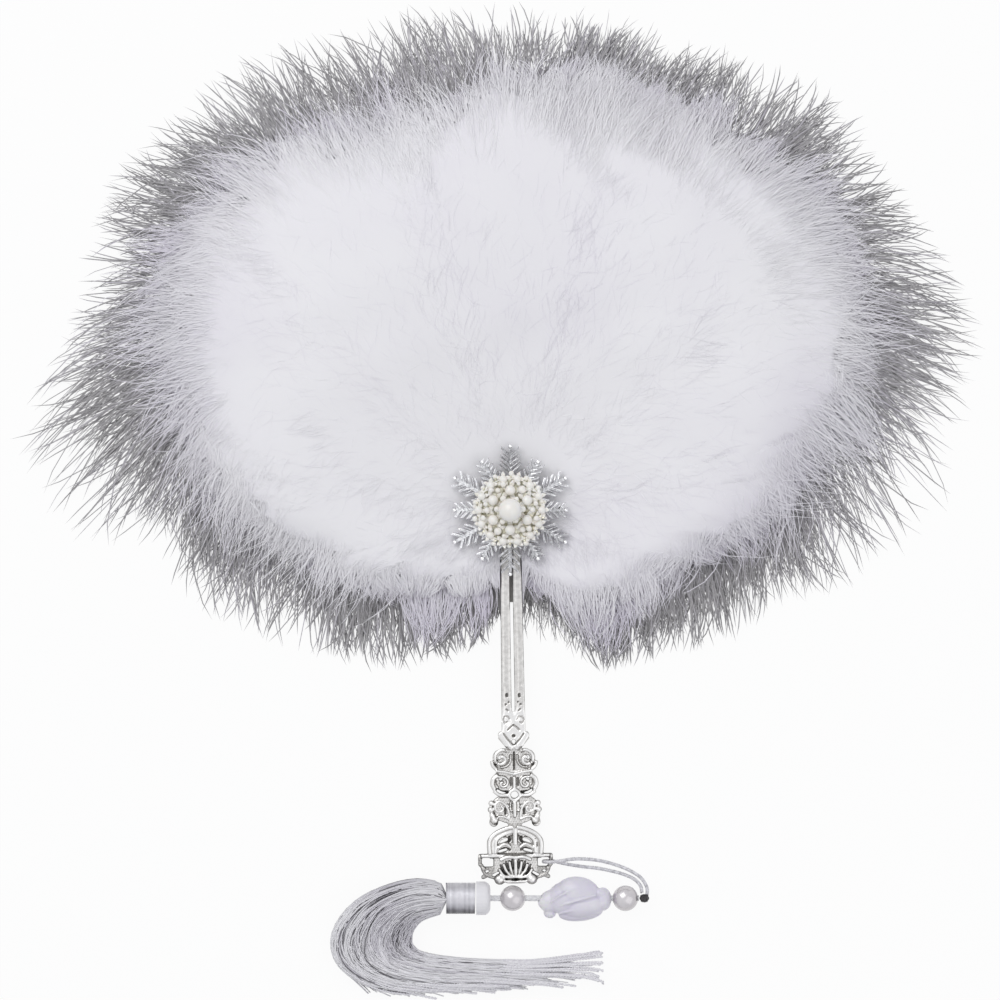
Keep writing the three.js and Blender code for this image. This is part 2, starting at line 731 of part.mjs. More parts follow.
// A rose on its side: a slim calyx at the left, petals that wind round the swell, a small lip at the right
function carvedBeadGeometry() {
  const stations = [
    [0, 0.26],
    [0.1, 0.4],
    [0.24, 0.62],
    [0.38, 0.86],
    [0.52, 0.98],
    [0.66, 0.97],
    [0.78, 0.8],
    [0.86, 0.56],
    [0.93, 0.5],
    [1, 0.34],
  ];
  const sides = 20;
  const petalDepth = 0.07;
  const rings = stations.map(([along, swell]) => {
    const ring = [];
    for (let side = 0; side < sides; side += 1) {
      const angle = (2 * Math.PI * side) / sides;
      const petal = 1 - petalDepth * (1 - Math.cos(beadPetals * angle + 4 * along));
      const y = (beadBreadth / 2) * swell * petal * Math.cos(angle);
      const z = (beadDepth / 2) * swell * petal * Math.sin(angle);
      ring.push(new THREE.Vector3(beadLeft + along * beadLength, y, z));
    }
    return ring;
  });
  const drill = new THREE.CylinderGeometry(boreRadius, boreRadius, beadLength + 4, 14).rotateZ(Math.PI / 2);
  drill.translate(beadLeft + beadLength / 2, 0, 0);
  return toGeometry(toSolid(loft(rings)).subtract(toSolid(drill)));
}

addMesh(drop, 'carved_bead', carvedBeadGeometry(), finishes.resin);

const stringLeft = capRight - capSeat;
const stringRight = knotX - knotLength / 2 - fitGap;
const stringLength = stringRight - stringLeft;
const string = new THREE.CylinderGeometry(stringDiameter / 2, stringDiameter / 2, stringLength, 8);
string.rotateZ(Math.PI / 2);
addMesh(drop, 'string_cord', string, finishes.cord).position.x = (stringLeft + stringRight) / 2;

function knotProfile() {
  const profile = [];
  const steps = 8;
  for (let step = 0; step <= steps; step += 1) {
    const angle = (Math.PI * step) / steps;
    profile.push([(knotDiameter / 2) * Math.sin(angle), (-knotLength / 2) * Math.cos(angle)]);
  }
  return profile;
}

addMesh(drop, 'loop_knot', turned(knotProfile(), 12), finishes.knot).position.x = knotX;

// The loop: both strands rise from the knot, run back to the right ear and meet round its bar
function loopPath() {
  const turnRadius = earThickness / 2 + fitGap + cordDiameter / 2;
  const barPoint = toFan(earBarAt, earHoleMiddle, earMiddle);
  const knotPoint = new THREE.Vector3(knotX, stringY, stringLevel);
  // Share of the way from the bar to the knot, rise above that line, and level
  const upperStrand = [
    [1.03, knotDiameter / 2 + fitGap, stringLevel],
    [1.03, 3.9, 5.6],
    [0.975, 6.6, 3.6],
    [0.86, 7.7, 1.6],
    [0.713, 7.8, 0.9],
    [0.553, 7.2, 1.1],
    [0.392, 5.9, 2.2],
    [0.231, 4, 4.4],
    [0.114, 2, 6.4],
  ];
  const lowerStrand = [
    [0.1, 0.6, 1.1],
    [0.2, 1.2, 0.85],
    [0.348, 2.4, 0.8],
    [0.494, 3.8, 0.8],
    [0.64, 4.8, 0.8],
    [0.787, 5.4, 0.95],
    [0.905, 5.1, 2.2],
    [0.965, 3.6, 4.6],
    [0.972, knotDiameter / 2 + fitGap, stringLevel],
  ];
  const place = ([share, rise, level]) => {
    const point = barPoint.clone().lerp(knotPoint, share);
    return new THREE.Vector3(point.x, point.y + rise, level);
  };
  const turn = [];
  for (let step = 0; step <= 6; step += 1) {
    const angle = (Math.PI * step) / 6;
    const x = earBarAt - turnRadius * Math.sin(angle);
    turn.push(toFan(x, earHoleMiddle, earMiddle + turnRadius * Math.cos(angle)));
  }
  return [...upperStrand.map(place), ...turn, ...lowerStrand.map(place)];
}

const loopCurve = new THREE.CatmullRomCurve3(loopPath(), false, 'centripetal');
const loopSection = new THREE.Shape().absarc(0, 0, cordDiameter / 2, 0, 2 * Math.PI);
const loopSettings = { steps: 58, curveSegments: 4, extrudePath: loopCurve };
const loopGeometry = new THREE.ExtrudeGeometry(loopSection, loopSettings);
addMesh(drop, 'cord_loop', loopGeometry.translate(0, -stringY, -stringLevel), finishes.cord);

// Tassel: cap, bound neck and a skirt that lies in a hook on the table

function capProfile() {
  const radius = capDiameter / 2;
  const corner = 1.8;
  const profile = [[0, capLength], [radius - 0.4, capLength], [radius, capLength - 0.4]];
  for (let step = 0; step <= 4; step += 1) {
    const angle = (Math.PI / 2) * (step / 4);
    profile.push([radius - corner + corner * Math.cos(angle), corner - corner * Math.sin(angle)]);
  }
  profile.push([capMouth, 0], [boreRadius, capSeat], [boreRadius, capBoreDepth], [0, capBoreDepth]);
  return profile.map(([across, along]) => [across, -along]);
}

addMesh(drop, 'tassel_cap', turned(capProfile(), 18), finishes.silk).position.x = capRight;

// The binding is one thread wound round the neck, its ends running along the neck
function bindingPath() {
  const radius = neckDiameter / 2 + fitGap + bindingThread / 2;
  const steps = 24;
  const lead = bindingThread;
  const run = bindingLength - 2 * lead;
  const points = [];
  const place = (along, turn) => {
    const angle = 2 * Math.PI * turn;
    const x = capLeft - fitGap - along;
    points.push(new THREE.Vector3(x, radius * Math.cos(angle), radius * Math.sin(angle)));
  };
  place(0, 0);
  for (let step = 0; step <= bindingTurns * steps; step += 1) {
    place(lead + (run * step) / (bindingTurns * steps), step / steps);
  }
  place(bindingLength, bindingTurns);
  return points;
}

// A round tube along points, its section carried from point to point without twist
function tube(points, radius, sides) {
  const tangentAt = (index) => {
    const before = points[Math.max(0, index - 1)];
    const after = points[Math.min(points.length - 1, index + 1)];
    return after.clone().sub(before).normalize();
  };
  let normal = new THREE.Vector3(0, 1, 0);
  const rings = points.map((point, index) => {
    const tangent = tangentAt(index);
    normal = normal.clone().addScaledVector(tangent, -normal.dot(tangent)).normalize();
    const binormal = tangent.clone().cross(normal);
    const ring = [];
    for (let side = 0; side < sides; side += 1) {
      const angle = (2 * Math.PI * side) / sides;
      const spoke = normal.clone().multiplyScalar(radius * Math.cos(angle));
      ring.push(point.clone().add(spoke.addScaledVector(binormal, radius * Math.sin(angle))));
    }
    return ring;
  });
  return loft(rings);
}

function leastGap(points, diameter, apart) {
  let least = Infinity;
  for (let first = 0; first < points.length; first += 1) {
    for (let second = first + apart; second < points.length; second += 1) {
      least = Math.min(least, points[first].distanceTo(points[second]));
    }
  }
  return least - diameter;
}

const binding = bindingPath();
console.log(`least gap between turns of the binding: ${leastGap(binding, bindingThread, 12).toFixed(3)} mm`);
addMesh(drop, 'tassel_binding', tube(binding, bindingThread / 2, 6), finishes.silverThread);

// The skirt's hook: at each station the inner edge and the outer edge, each as distance left of the binding
// and distance down, and the depth as a share of the largest
function skirtGeometry() {
  const neck = neckDiameter / 2;
  const hook = [
    [[2, 6], [2, -6], 1],
    [[7, 7.6], [11.5, -7.2], 1],
    [[9.6, 9], [22.6, -4.6], 1],
    [[11.2, 11.4], [33, 0.6], 1],
    [[12.2, 14], [40.3, 8.8], 0.98],
    [[12.2, 16.4], [42.6, 17], 0.94],
    [[11, 18.6], [39.6, 25.6], 0.9],
    [[7.5, 20], [31, 32.4], 0.86],
    [[1.5, 21.2], [19, 36.4], 0.8],
    [[-8, 22.2], [2, 37.4], 0.74],
    [[-20, 23.2], [-16, 36], 0.66],
    [[-34, 24], [-34, 32.8], 0.54],
    [[-58, 25.2], [-58, 31], 0.4],
  ];
  const sides = 2 * skirtLobes;
  const lobeDepth = 0.12;
  const ringBetween = (inner, outer, depth, lobes) => {
    const middle = inner.clone().lerp(outer, 0.5);
    const across = inner.clone().sub(outer).divideScalar(2);
    const ring = [];
    for (let side = 0; side < sides; side += 1) {
      const angle = (2 * Math.PI * side) / sides;
      const lobe = side % 2 ? 1 - lobes : 1;
      const point = middle.clone().addScaledVector(across, lobe * Math.cos(angle));
      point.z += depth * lobe * Math.sin(angle);
      ring.push(point);
    }
    return ring;
  };
  const neckEdge = (x, y) => new THREE.Vector3(x, y, 0);
  const neckRing = (x) => ringBetween(neckEdge(x, -neck), neckEdge(x, neck), neck, 0);
  const rings = [neckRing(capLeft - fitGap), neckRing(bindingLeft - fitGap)];
  for (const [inner, outer, share] of hook) {
    const depth = (skirtDepth / 2) * share;
    const level = depth + 0.1 - stringLevel;
    const edge = ([left, down]) => new THREE.Vector3(bindingLeft - left, -down, level);
    rings.push(ringBetween(edge(inner), edge(outer), depth, lobeDepth));
  }
  return loft(rings);
}

addMesh(drop, 'tassel_skirt', skirtGeometry(), finishes.silk);

// The origin goes to the middle of the fan's own footprint, on the table, with the drop left out of it
fan.updateMatrixWorld(true);
const footprint = new THREE.Box3();
for (const group of [plumes, handle, boss]) footprint.expandByObject(group);
const middle = footprint.getCenter(new THREE.Vector3());
fan.position.set(-middle.x, -middle.y, -footprint.min.z);

export default fan;
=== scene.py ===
import math

import bpy
import numpy as np
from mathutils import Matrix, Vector


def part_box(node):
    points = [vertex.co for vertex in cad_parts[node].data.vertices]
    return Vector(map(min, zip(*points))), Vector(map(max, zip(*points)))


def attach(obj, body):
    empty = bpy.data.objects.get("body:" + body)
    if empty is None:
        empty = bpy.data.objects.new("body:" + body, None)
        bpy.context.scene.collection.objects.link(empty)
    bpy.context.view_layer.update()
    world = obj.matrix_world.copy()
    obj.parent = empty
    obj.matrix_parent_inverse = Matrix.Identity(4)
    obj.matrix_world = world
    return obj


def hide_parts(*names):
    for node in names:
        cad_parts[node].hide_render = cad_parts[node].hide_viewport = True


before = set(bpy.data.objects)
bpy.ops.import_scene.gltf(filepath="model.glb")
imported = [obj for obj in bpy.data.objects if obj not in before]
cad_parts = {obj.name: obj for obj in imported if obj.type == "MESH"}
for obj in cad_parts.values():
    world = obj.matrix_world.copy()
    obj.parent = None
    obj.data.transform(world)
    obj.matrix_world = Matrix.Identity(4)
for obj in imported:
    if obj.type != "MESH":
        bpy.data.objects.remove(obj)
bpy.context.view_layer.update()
bpy.ops.object.select_all(action="DESELECT")
print("frame loaded,", len(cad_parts), "solids")

mm = 0.001  # lengths are written in millimetres and multiplied by this
hub = np.array([0.0, -24.35])  # middle of the boss
handleLean = math.radians(0.9)  # the handle's foot leans to +X
stringY, stringZ = -167.333, 6.3  # the bead string runs along X at this height
bearingSeam = -92  # bearings from the hub are counted in degrees from here
anyTurn = (0, 6.28)  # range that a random turn is drawn from, in radians


# small helpers for objects

def choose(obj):
    bpy.ops.object.select_all(action="DESELECT")
    obj.select_set(True)
    bpy.context.view_layer.objects.active = obj


def settle(obj):  # the place goes into the mesh
    choose(obj)
    bpy.ops.object.transform_apply(location=True, rotation=True, scale=True)


def applyAll(obj):
    choose(obj)
    for modifier in list(obj.modifiers):
        bpy.ops.object.modifier_apply(modifier=modifier.name)


def modify(obj, kind, **settings):
    modifier = obj.modifiers.new(kind.lower(), kind)
    for key, value in settings.items():
        setattr(modifier, key, value)


def melt(obj, voxel, rounds):  # pieces that overlap become one soft skin
    modify(obj, "REMESH", mode="VOXEL", voxel_size=voxel * mm)
    modify(obj, "SMOOTH", factor=0.5, iterations=rounds)
    applyAll(obj)


def smooth(obj, angle=None):  # edges sharper than the angle, where one is given, stay sharp
    choose(obj)
    if angle is None:
        bpy.ops.object.shade_smooth()
    else:
        bpy.ops.object.shade_smooth_by_angle(angle=math.radians(angle))


def selectOnly(obj, kind, wanted):  # goes into edit mode with the wanted points or faces selected
    bpy.ops.object.mode_set(mode="EDIT")
    bpy.ops.mesh.select_mode(type=kind)
    bpy.ops.mesh.select_all(action="DESELECT")
    bpy.ops.object.mode_set(mode="OBJECT")
    for element in obj.data.vertices if kind == "VERT" else obj.data.polygons:
        element.select = wanted(element)
    bpy.ops.object.mode_set(mode="EDIT")


def metres(lengths):
    return [length * mm for length in lengths]


def joinAs(name, parts):
    choose(parts[0])
    for part in parts[1:]:
        part.select_set(True)
    bpy.ops.object.join()
    parts[0].name = name
    parts[0].data.name = name
    return parts[0]


def linked(name, mesh):
    obj = bpy.data.objects.new(name, mesh)
    bpy.context.scene.collection.objects.link(obj)
    return obj


def copyOf(obj, name):  # each copy has its own mesh
    return linked(name, obj.data.copy())


def meshObject(name, points, faces):
    mesh = bpy.data.meshes.new(name)
    mesh.from_pydata(points, [], faces)
    mesh.update()
    return linked(name, mesh)


def setAttribute(obj, name, values):
    attribute = obj.data.attributes.new(name, "FLOAT", "POINT")
    attribute.data.foreach_set("value", np.asarray(values, np.float32))


def spotsOf(obj):
    flat = np.empty(len(obj.data.vertices) * 3)
    obj.data.vertices.foreach_get("co", flat)
    return flat.reshape(-1, 3) / mm


def placeSpots(obj, spots):
    obj.data.vertices.foreach_set("co", (spots * mm).ravel())
    obj.data.update()


def dress(obj, paint, body, slot, *nodes):
    obj.data.materials.clear()
    obj.data.materials.append(paint.material)
    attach(obj, body)
    if nodes:
        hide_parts(*nodes)
    return obj


# shader maths: a socket that can be added, multiplied and so on

class Wire:
    def __init__(self, paint, socket):
        self.paint = paint
        self.socket = socket

    def maths(self, operation, first, second):
        return self.paint.node("ShaderNodeMath", {"operation": operation}, {0: first, 1: second})

    def __add__(self, other):
        return self.maths("ADD", self, other)

    def __radd__(self, other):
        return self.maths("ADD", other, self)

    def __sub__(self, other):
        return self.maths("SUBTRACT", self, other)

    def __rsub__(self, other):
        return self.maths("SUBTRACT", other, self)

    def __mul__(self, other):
        return self.maths("MULTIPLY", self, other)

    def __rmul__(self, other):
        return self.maths("MULTIPLY", other, self)


def srgb(red, green, blue):  # 0 to 255, as a colour picker shows it
    def linear(value):
        share = value / 255
        return share / 12.92 if share <= 0.04045 else ((share + 0.055) / 1.055) ** 2.4
    return (linear(red), linear(green), linear(blue), 1.0)


class Paint:
    def __init__(self, name, world=None):
        self.material = world or bpy.data.materials.new(name)
        self.material.use_nodes = True
        self.tree = self.material.node_tree
        self.tree.nodes.clear()

    def node(self, kind, settings=None, sockets=None, out=0):
        made = self.tree.nodes.new(kind)
        for key, value in (settings or {}).items():
            if key == "stops":
                ramp = made.color_ramp.elements
                while len(ramp) < len(value):
                    ramp.new(0.5)
                for element, (place, shade) in zip(ramp, value):
                    element.position = place
                    element.color = shade
            else:
                setattr(made, key, value)
        for key, value in (sockets or {}).items():
            if isinstance(value, Wire):
                self.tree.links.new(value.socket, made.inputs[key])
            else:
                made.inputs[key].default_value = value
        return Wire(self, made.outputs[out]) if made.outputs else None

    def attribute(self, name):
        return self.node("ShaderNodeAttribute", {"attribute_name": name}, out="Fac")

    def noise(self, scale, detail):
        place = self.node("ShaderNodeTexCoord", out="Object")
        return self.node("ShaderNodeTexNoise", None, {"Vector": place, "Scale": scale, "Detail": detail})

    def ramp(self, value, *stops):  # a stop is a place from 0 to 1 and a colour as srgb takes it
        stops = [(place, srgb(*shade)) for place, *shade in stops]
        return self.node("ShaderNodeValToRGB", {"stops": stops}, {0: value})

    def mix(self, share, first, second):
        return self.node("ShaderNodeMix", {"data_type": "RGBA"}, {0: share, 6: first, 7: second}, out=2)

    def bump(self, height, strength, distance):
        sockets = {"Height": height, "Strength": strength, "Distance": distance}
        return self.node("ShaderNodeBump", None, sockets)

    def finish(self, sockets):
        shader = self.node("ShaderNodeBsdfPrincipled", None, sockets)
        self.node("ShaderNodeOutputMaterial", None, {"Surface": shader})
        return self


# stage: floor, world, lamps, camera

stageKit = {
    "cameraPlace": (-3.7, -20.65, 1387.5),
    "lens": 135,
    "sight": 20,  # metres that the camera sees
    "floorSize": 8000,
    "floorColour": (244, 244, 245),
    "floorGlow": 0.93,  # share of the floor that stays white where the camera sees it
    "skyColour": (0.96, 0.97, 1.0, 1),
    "worldLight": 0.5,
    "keyPlace": (-620, 760, 1250),
    "keyWatts": 8.5,
    "keySize": 1100,
    "fillPlace": (760, -420, 1100),
    "fillWatts": 3.0,
    "fillSize": 1400,
}


def seenByEye(paint):
    looks = [paint.node("ShaderNodeLightPath", out=ray)
             for ray in ("Is Camera Ray", "Is Glossy Ray", "Is Transmission Ray")]
    return looks[0] + looks[1] + looks[2]


def addLamp(name, place, watts, size):
    bpy.ops.object.light_add(type="AREA", location=metres(place))
    lamp = bpy.context.object
    lamp.name = name
    lamp.data.energy = watts
    lamp.data.size = size * mm
    aim = Vector(metres((0, hub[1], 0))) - lamp.location
    lamp.rotation_euler = aim.to_track_quat("-Z", "Y").to_euler()


def makeStage(kit):
    scene = bpy.context.scene
    scene.view_settings.view_transform = "Standard"
    bpy.ops.object.camera_add(location=metres(kit["cameraPlace"]))
    camera = bpy.context.object
    camera.name = "studioCamera"
    camera.data.lens = kit["lens"]
    camera.data.clip_end = kit["sight"]
    scene.camera = camera
    bpy.ops.mesh.primitive_plane_add(size=kit["floorSize"] * mm)
    floor = bpy.context.object
    floor.name = "studioFloor"
    paint = Paint("floorPaint")
    matte = paint.node("ShaderNodeBsdfDiffuse", None, {"Color": srgb(*kit["floorColour"])})
    glow = paint.node("ShaderNodeEmission", None, {"Color": (1, 1, 1, 1), "Strength": 1.0})
    share = seenByEye(paint) * kit["floorGlow"]
    mixed = paint.node("ShaderNodeMixShader", None, {0: share, 1: matte, 2: glow})
    paint.node("ShaderNodeOutputMaterial", None, {"Surface": mixed})
    floor.data.materials.append(paint.material)
    world = bpy.data.worlds.new("studioWorld")
    scene.world = world
    sky = Paint("sky", world)
    light = kit["worldLight"] + seenByEye(sky) * (1 - kit["worldLight"])
    dome = sky.node("ShaderNodeBackground", None, {"Color": kit["skyColour"], "Strength": light})
    sky.node("ShaderNodeOutputWorld", None, {"Surface": dome})
    addLamp("keyLamp", kit["keyPlace"], kit["keyWatts"], kit["keySize"])
    addLamp("fillLamp", kit["fillPlace"], kit["fillWatts"], kit["fillSize"])


makeStage(stageKit)
print("stage ready")


# tubes along a path, used for cords, threads and scrolls

def travelAlong(path):  # distance covered at each spot
    return np.concatenate([[0], np.cumsum(np.linalg.norm(np.diff(path, axis=0), axis=1))])


def spacedEvenly(path, number):
    travel = travelAlong(path)
    even = np.linspace(0, travel[-1], number)
    return np.column_stack([np.interp(even, travel, path[:, axis]) for axis in range(3)])


def between(first, second, start, end, t):  # straight from one spot to the next
    return (first * (end - t) + second * (t - start)) / (end - start)


def evenPath(points, step):  # smooth curve through the points, then spots a step apart
    spots = np.asarray(points, float)
    spots = np.vstack([2 * spots[0] - spots[1], spots, 2 * spots[-1] - spots[-2]])
    gaps = np.linalg.norm(np.diff(spots, axis=0), axis=1)
    knots = np.concatenate([[0], np.cumsum(np.sqrt(gaps))])
    fine = []
    for index in range(1, len(spots) - 2):
        p = spots[index - 1:index + 3]
        k = knots[index - 1:index + 3]
        t = np.linspace(k[1], k[2], 24, endpoint=False)[:, None]
        first = [between(p[j], p[j + 1], k[j], k[j + 1], t) for j in range(3)]
        second = [between(first[j], first[j + 1], k[j], k[j + 2], t) for j in range(2)]
        fine.append(between(*second, k[1], k[2], t))
    fine = np.vstack([*fine, spots[-2]])
    return spacedEvenly(fine, max(2, round(travelAlong(fine)[-1] / step) + 1))


def carriedFrames(path):  # directions ahead, aside and over at each spot, carried along without twist
    ahead = np.gradient(path, axis=0)
    ahead /= np.linalg.norm(ahead, axis=1, keepdims=True)
    aside = np.cross(ahead[0], [0.0, 0.0, 1.0])
    if np.linalg.norm(aside) < 0.01:
        aside = np.array([1.0, 0, 0])
    asides = []
    for direction in ahead:
        aside = aside - direction * aside.dot(direction)
        aside = aside / np.linalg.norm(aside)
        asides.append(aside)
    asides = np.array(asides)
    return ahead, asides, np.cross(asides, ahead)


def tubeFaces(rings, corners):
    faces = []
    for ring in range(rings - 1):
        here = ring * corners
        for side in range(corners):
            other = (side + 1) % corners
            faces.append([here + side, here + corners + side, here + corners + other, here + other])
    last = (rings - 1) * corners
    faces.append(list(range(corners)))
    faces.append([last + side for side in reversed(range(corners))])
    return faces


def tubeAlong(path, radius, corners):  # points and faces of a closed tube
    aside, over = carriedFrames(path)[1:]
    radius = np.broadcast_to(np.asarray(radius, float), len(path))[:, None, None]
    angle = 2 * np.pi * np.arange(corners) / corners
    spokes = np.cos(angle)[None, :, None] * aside[:, None] + np.sin(angle)[None, :, None] * over[:, None]
    points = (path[:, None] + radius * spokes).reshape(-1, 3)
    return points, tubeFaces(len(path), corners)


def tubesObject(name, tubes):  # many tubes as one mesh
    points, faces, start = [], [], 0
    for spots, sides in tubes:
        points.append(spots)
        faces.extend([[start + corner for corner in side] for side in sides])
        start += len(spots)
    return meshObject(name, np.vstack(points) * mm, faces)


def ropeStrands(path, width, strands, pitch, corners=7):  # strands laid round each other
    aside, over = carriedFrames(path)[1:]
    travel = travelAlong(path)
    offset = width / 2 / (1 + 1.15 * math.sin(math.pi / strands))  # strands press into each other a little
    tubes = []
    for strand in range(strands):
        turn = 2 * np.pi * (strand / strands + travel / pitch)
        spots = path + offset * (np.cos(turn)[:, None] * aside + np.sin(turn)[:, None] * over)
        tubes.append(tubeAlong(spots, width / 2 - offset, corners))
    return tubes


def onHandle(x, down, level):  # a place on the leaning handle: across it, down its axis, height
    c, s = math.cos(handleLean), math.sin(handleLean)
    return (hub[0] + x * c + down * s, hub[1] + x * s - down * c, level)


# cords: the loop through the handle's eyelet, and the string that the beads are on

cordKit = {
    "loopWidth": 1.4,
    "loopStrands": 3,
    "loopPitch": 2.6,  # length in which a strand goes once round
    "eyeletBar": (13.1, 129.85, 3.8),
    "loopTurn": 2.8,  # radius of the turn round the bar
    "knotPlace": (49.46, stringY, stringZ),
    # share of the way from the bar to the knot, rise beside that line, height
    "upperStrand": [
        (1.03, 1.8, 6.3), (1.03, 3.9, 5.6), (0.975, 6.6, 3.6), (0.86, 7.7, 1.6), (0.713, 7.8, 0.9),
        (0.553, 7.2, 1.1), (0.392, 5.9, 2.2), (0.231, 4, 4.4), (0.114, 2, 6.4),
    ],
    "lowerStrand": [
        (0.1, 0.6, 1.1), (0.2, 1.2, 0.85), (0.348, 2.4, 0.8), (0.494, 3.8, 0.8), (0.64, 4.8, 0.8),
        (0.787, 5.4, 0.95), (0.905, 5.1, 2.2), (0.965, 3.6, 4.6), (0.972, 1.8, 6.3),
    ],
    "stringWidth": 2.2,
    "stringStrands": 6,
    "stringPitch": 11.0,
    "stringEnds": (47.36, -8.74),
    "knotRadius": 1.5,
    "knotLength": 3.6,
    "knotCore": 0.86,  # shares of the knot that its core and the thread round it take
    "wrapRadius": 0.9,
    "wrapLength": 0.72,
    "wrapThread": 0.28,
    "wrapTurns": 5,
}

cordPaint = Paint("cordPaint")
lay = cordPaint.noise(900, 3)
cordShade = cordPaint.ramp(lay, (0.3, 188, 187, 192), (0.55, 226, 225, 229), (0.75, 242, 242, 244))
cordPaint.finish({
    "Base Color": cordShade,
    "Roughness": 0.42,
    "Metallic": 0.15,
    "Normal": cordPaint.bump(lay, 0.3, 0.0002),
})
stringPaint = Paint("stringPaint")
stringShade = stringPaint.ramp(stringPaint.noise(700, 3), (0.3, 226, 225, 229), (0.7, 248, 248, 249))
stringPaint.finish({"Base Color": stringShade, "Roughness": 0.5, "Sheen Weight": 0.15})
knotPaint = Paint("knotPaint")
knotShade = knotPaint.ramp(knotPaint.noise(700, 3), (0.3, 38, 36, 38), (0.7, 82, 79, 82))
knotPaint.finish({"Base Color": knotShade, "Roughness": 0.5})


def loopRoute(kit):
    bar = np.array(onHandle(*kit["eyeletBar"]))
    knot = np.array(kit["knotPlace"])

    def strand(points):
        for share, rise, level in points:
            spot = bar + (knot - bar) * share
            yield (spot[0], spot[1] + rise, level)
    x, down, level = kit["eyeletBar"]
    turn = []
    for step in range(7):
        angle = math.pi * step / 6
        back, over = kit["loopTurn"] * math.sin(angle), kit["loopTurn"] * math.cos(angle)
        turn.append(onHandle(x - back, down, level + over))
    return [*strand(kit["upperStrand"]), *turn, *strand(kit["lowerStrand"])]


def makeKnot(kit):  # a dark wrapped end: a rounded core with thread wound round it
    bpy.ops.mesh.primitive_uv_sphere_add(segments=20, ring_count=12, radius=1)
    core = bpy.context.object
    core.rotation_euler = (0, math.pi / 2, 0)
    girth = kit["knotRadius"] * kit["knotCore"]
    core.scale = metres((girth, girth, kit["knotLength"] / 2))
    core.location = metres(kit["knotPlace"])
    settle(core)
    smooth(core)
    share = np.linspace(0, 1, 90)
    angle = 2 * np.pi * kit["wrapTurns"] * share
    along = (share - 0.5) * kit["knotLength"] * kit["wrapLength"]
    girth = kit["knotRadius"] * kit["wrapRadius"] * np.sqrt(1 - (along / kit["knotLength"] * 2) ** 2)
    spots = np.column_stack([along, girth * np.cos(angle), girth * np.sin(angle)]) + kit["knotPlace"]
    wrap = tubesObject("wrap", [tubeAlong(spots, kit["wrapThread"], 6)])
    knot = joinAs("loopKnot", [core, wrap])
    return dress(knot, knotPaint, "drop_loop", "knot", "loop_knot")


def makeCords(kit):
    knot = makeKnot(kit)
    path = evenPath(loopRoute(kit), 0.3)
    strands = ropeStrands(path, kit["loopWidth"], kit["loopStrands"], kit["loopPitch"])
    loop = tubesObject("wristLoop", strands)
    smooth(loop)
    dress(loop, cordPaint, "drop_loop", "cord", "cord_loop")
    start, end = kit["stringEnds"]
    shares = np.linspace(0, 1, 15)
    path = evenPath([(start + (end - start) * share, stringY, stringZ) for share in shares], 0.4)
    strands = ropeStrands(path, kit["stringWidth"], kit["stringStrands"], kit["stringPitch"])
    string = tubesObject("beadString", strands)
    smooth(string)
    dress(string, stringPaint, "drop_string", "cord", "string_cord")


makeCords(cordKit)


# plumes: each has a soft bed, a quill and hundreds of fine barbs

plumeKit = {
    # bearing in degrees from +X, reach of the rim, reach of the white cloud
    "rim": [
        (-86, 32, 20), (-72, 36, 23), (-65, 60, 28), (-60, 70, 32), (-50, 75, 40), (-40, 84, 47),
        (-30, 96, 54), (-20, 103, 60), (-10, 138, 74), (0, 159, 92), (10, 168, 106), (20, 185, 130),
        (30, 188, 145), (40, 188, 158), (50, 196, 163), (60, 194, 158), (70, 184, 161), (80, 184, 163),
        (90, 189, 158), (100, 189, 147), (110, 188, 144), (120, 195, 157), (130, 193, 157), (140, 193, 154),
        (150, 185, 143), (160, 177, 129), (170, 184, 111), (180, 178, 94), (190, 131, 75), (200, 116, 66),
        (210, 100, 50), (220, 85, 40), (230, 78, 34), (240, 68, 30), (250, 58, 25), (267, 46, 20),
    ],
    # how far below level a place lies seen from the hub, and how far below level its barbs point
    "hang": [
        (-90, -90), (-60, -50), (-45, -18), (-38, 2), (-30, 28), (-20, 48), (-10, 64), (0, 76), (12, 88),
        (90, 90),
    ],
    "lowest": (-86, 267),  # bearings of the two edges of the cleft that the stem comes out of
    "lobes": (-62, -28, 18, 52, 88, 126, 158, 203, 242),  # middles of the lobes that the plumes fall into
    "lobeLean": 9,  # degrees that barbs turn away from the middle of their lobe
    "lockWidth": 8,  # barbs draw together into locks about this far apart
    "lockTurn": 8,  # degrees that a lock strays
    "lockBase": 0.92,  # share of the cloud's reach that a lock starts from
    "stray": 15,  # degrees that a barb strays from the others
    "lowFrom": 0.6,  # sine of the bearing below which locks reach further
    "lowReach": 0.5,  # how much further they reach
    "bends": (0.36, 0.7),  # shares of a barb's run at which it is pulled aside and up
    "archSpread": (0.4, 1.2),
    "shortest": 7,
    "fullCrowd": 150,  # barbs stand closest where the cloud reaches this far
    "leastCrowd": 0.34,  # share of them where it reaches least
    "stemHalf": 4.2,
    "stemFrom": 10,  # distance below the hub at which the stem comes into the way
    "slotHalf": 1.3,  # barbs under the stem keep out of its slot
    "slotTop": 3.2,
    "rootRadius": 15,
    "crownReach": 187,
    "swellBend": 1.2,  # the larger, the nearer to its tip a plume is highest
    "pileGap": 0.5,
    "overlap": 1.05,  # a plume's width as a share of its sector
    "crossing": 0.12,  # share of its width by which its barbs cross over into the next
    "quillShare": 0.5,  # length of a quill as a share of the cloud's reach
    "quillRadii": (1.1, 0.2),
    "quillTone": 0.4,
    "seed": 7,
    "rings": (0.0, 0.2, 0.42, 0.64, 0.88),  # stations along a barb, before its tip
    "flat": 0.14,  # a barb's depth as a share of its breadth
    "roll": 0.2,  # radians that a barb turns about itself
    "lowestBarb": 0.15,
}
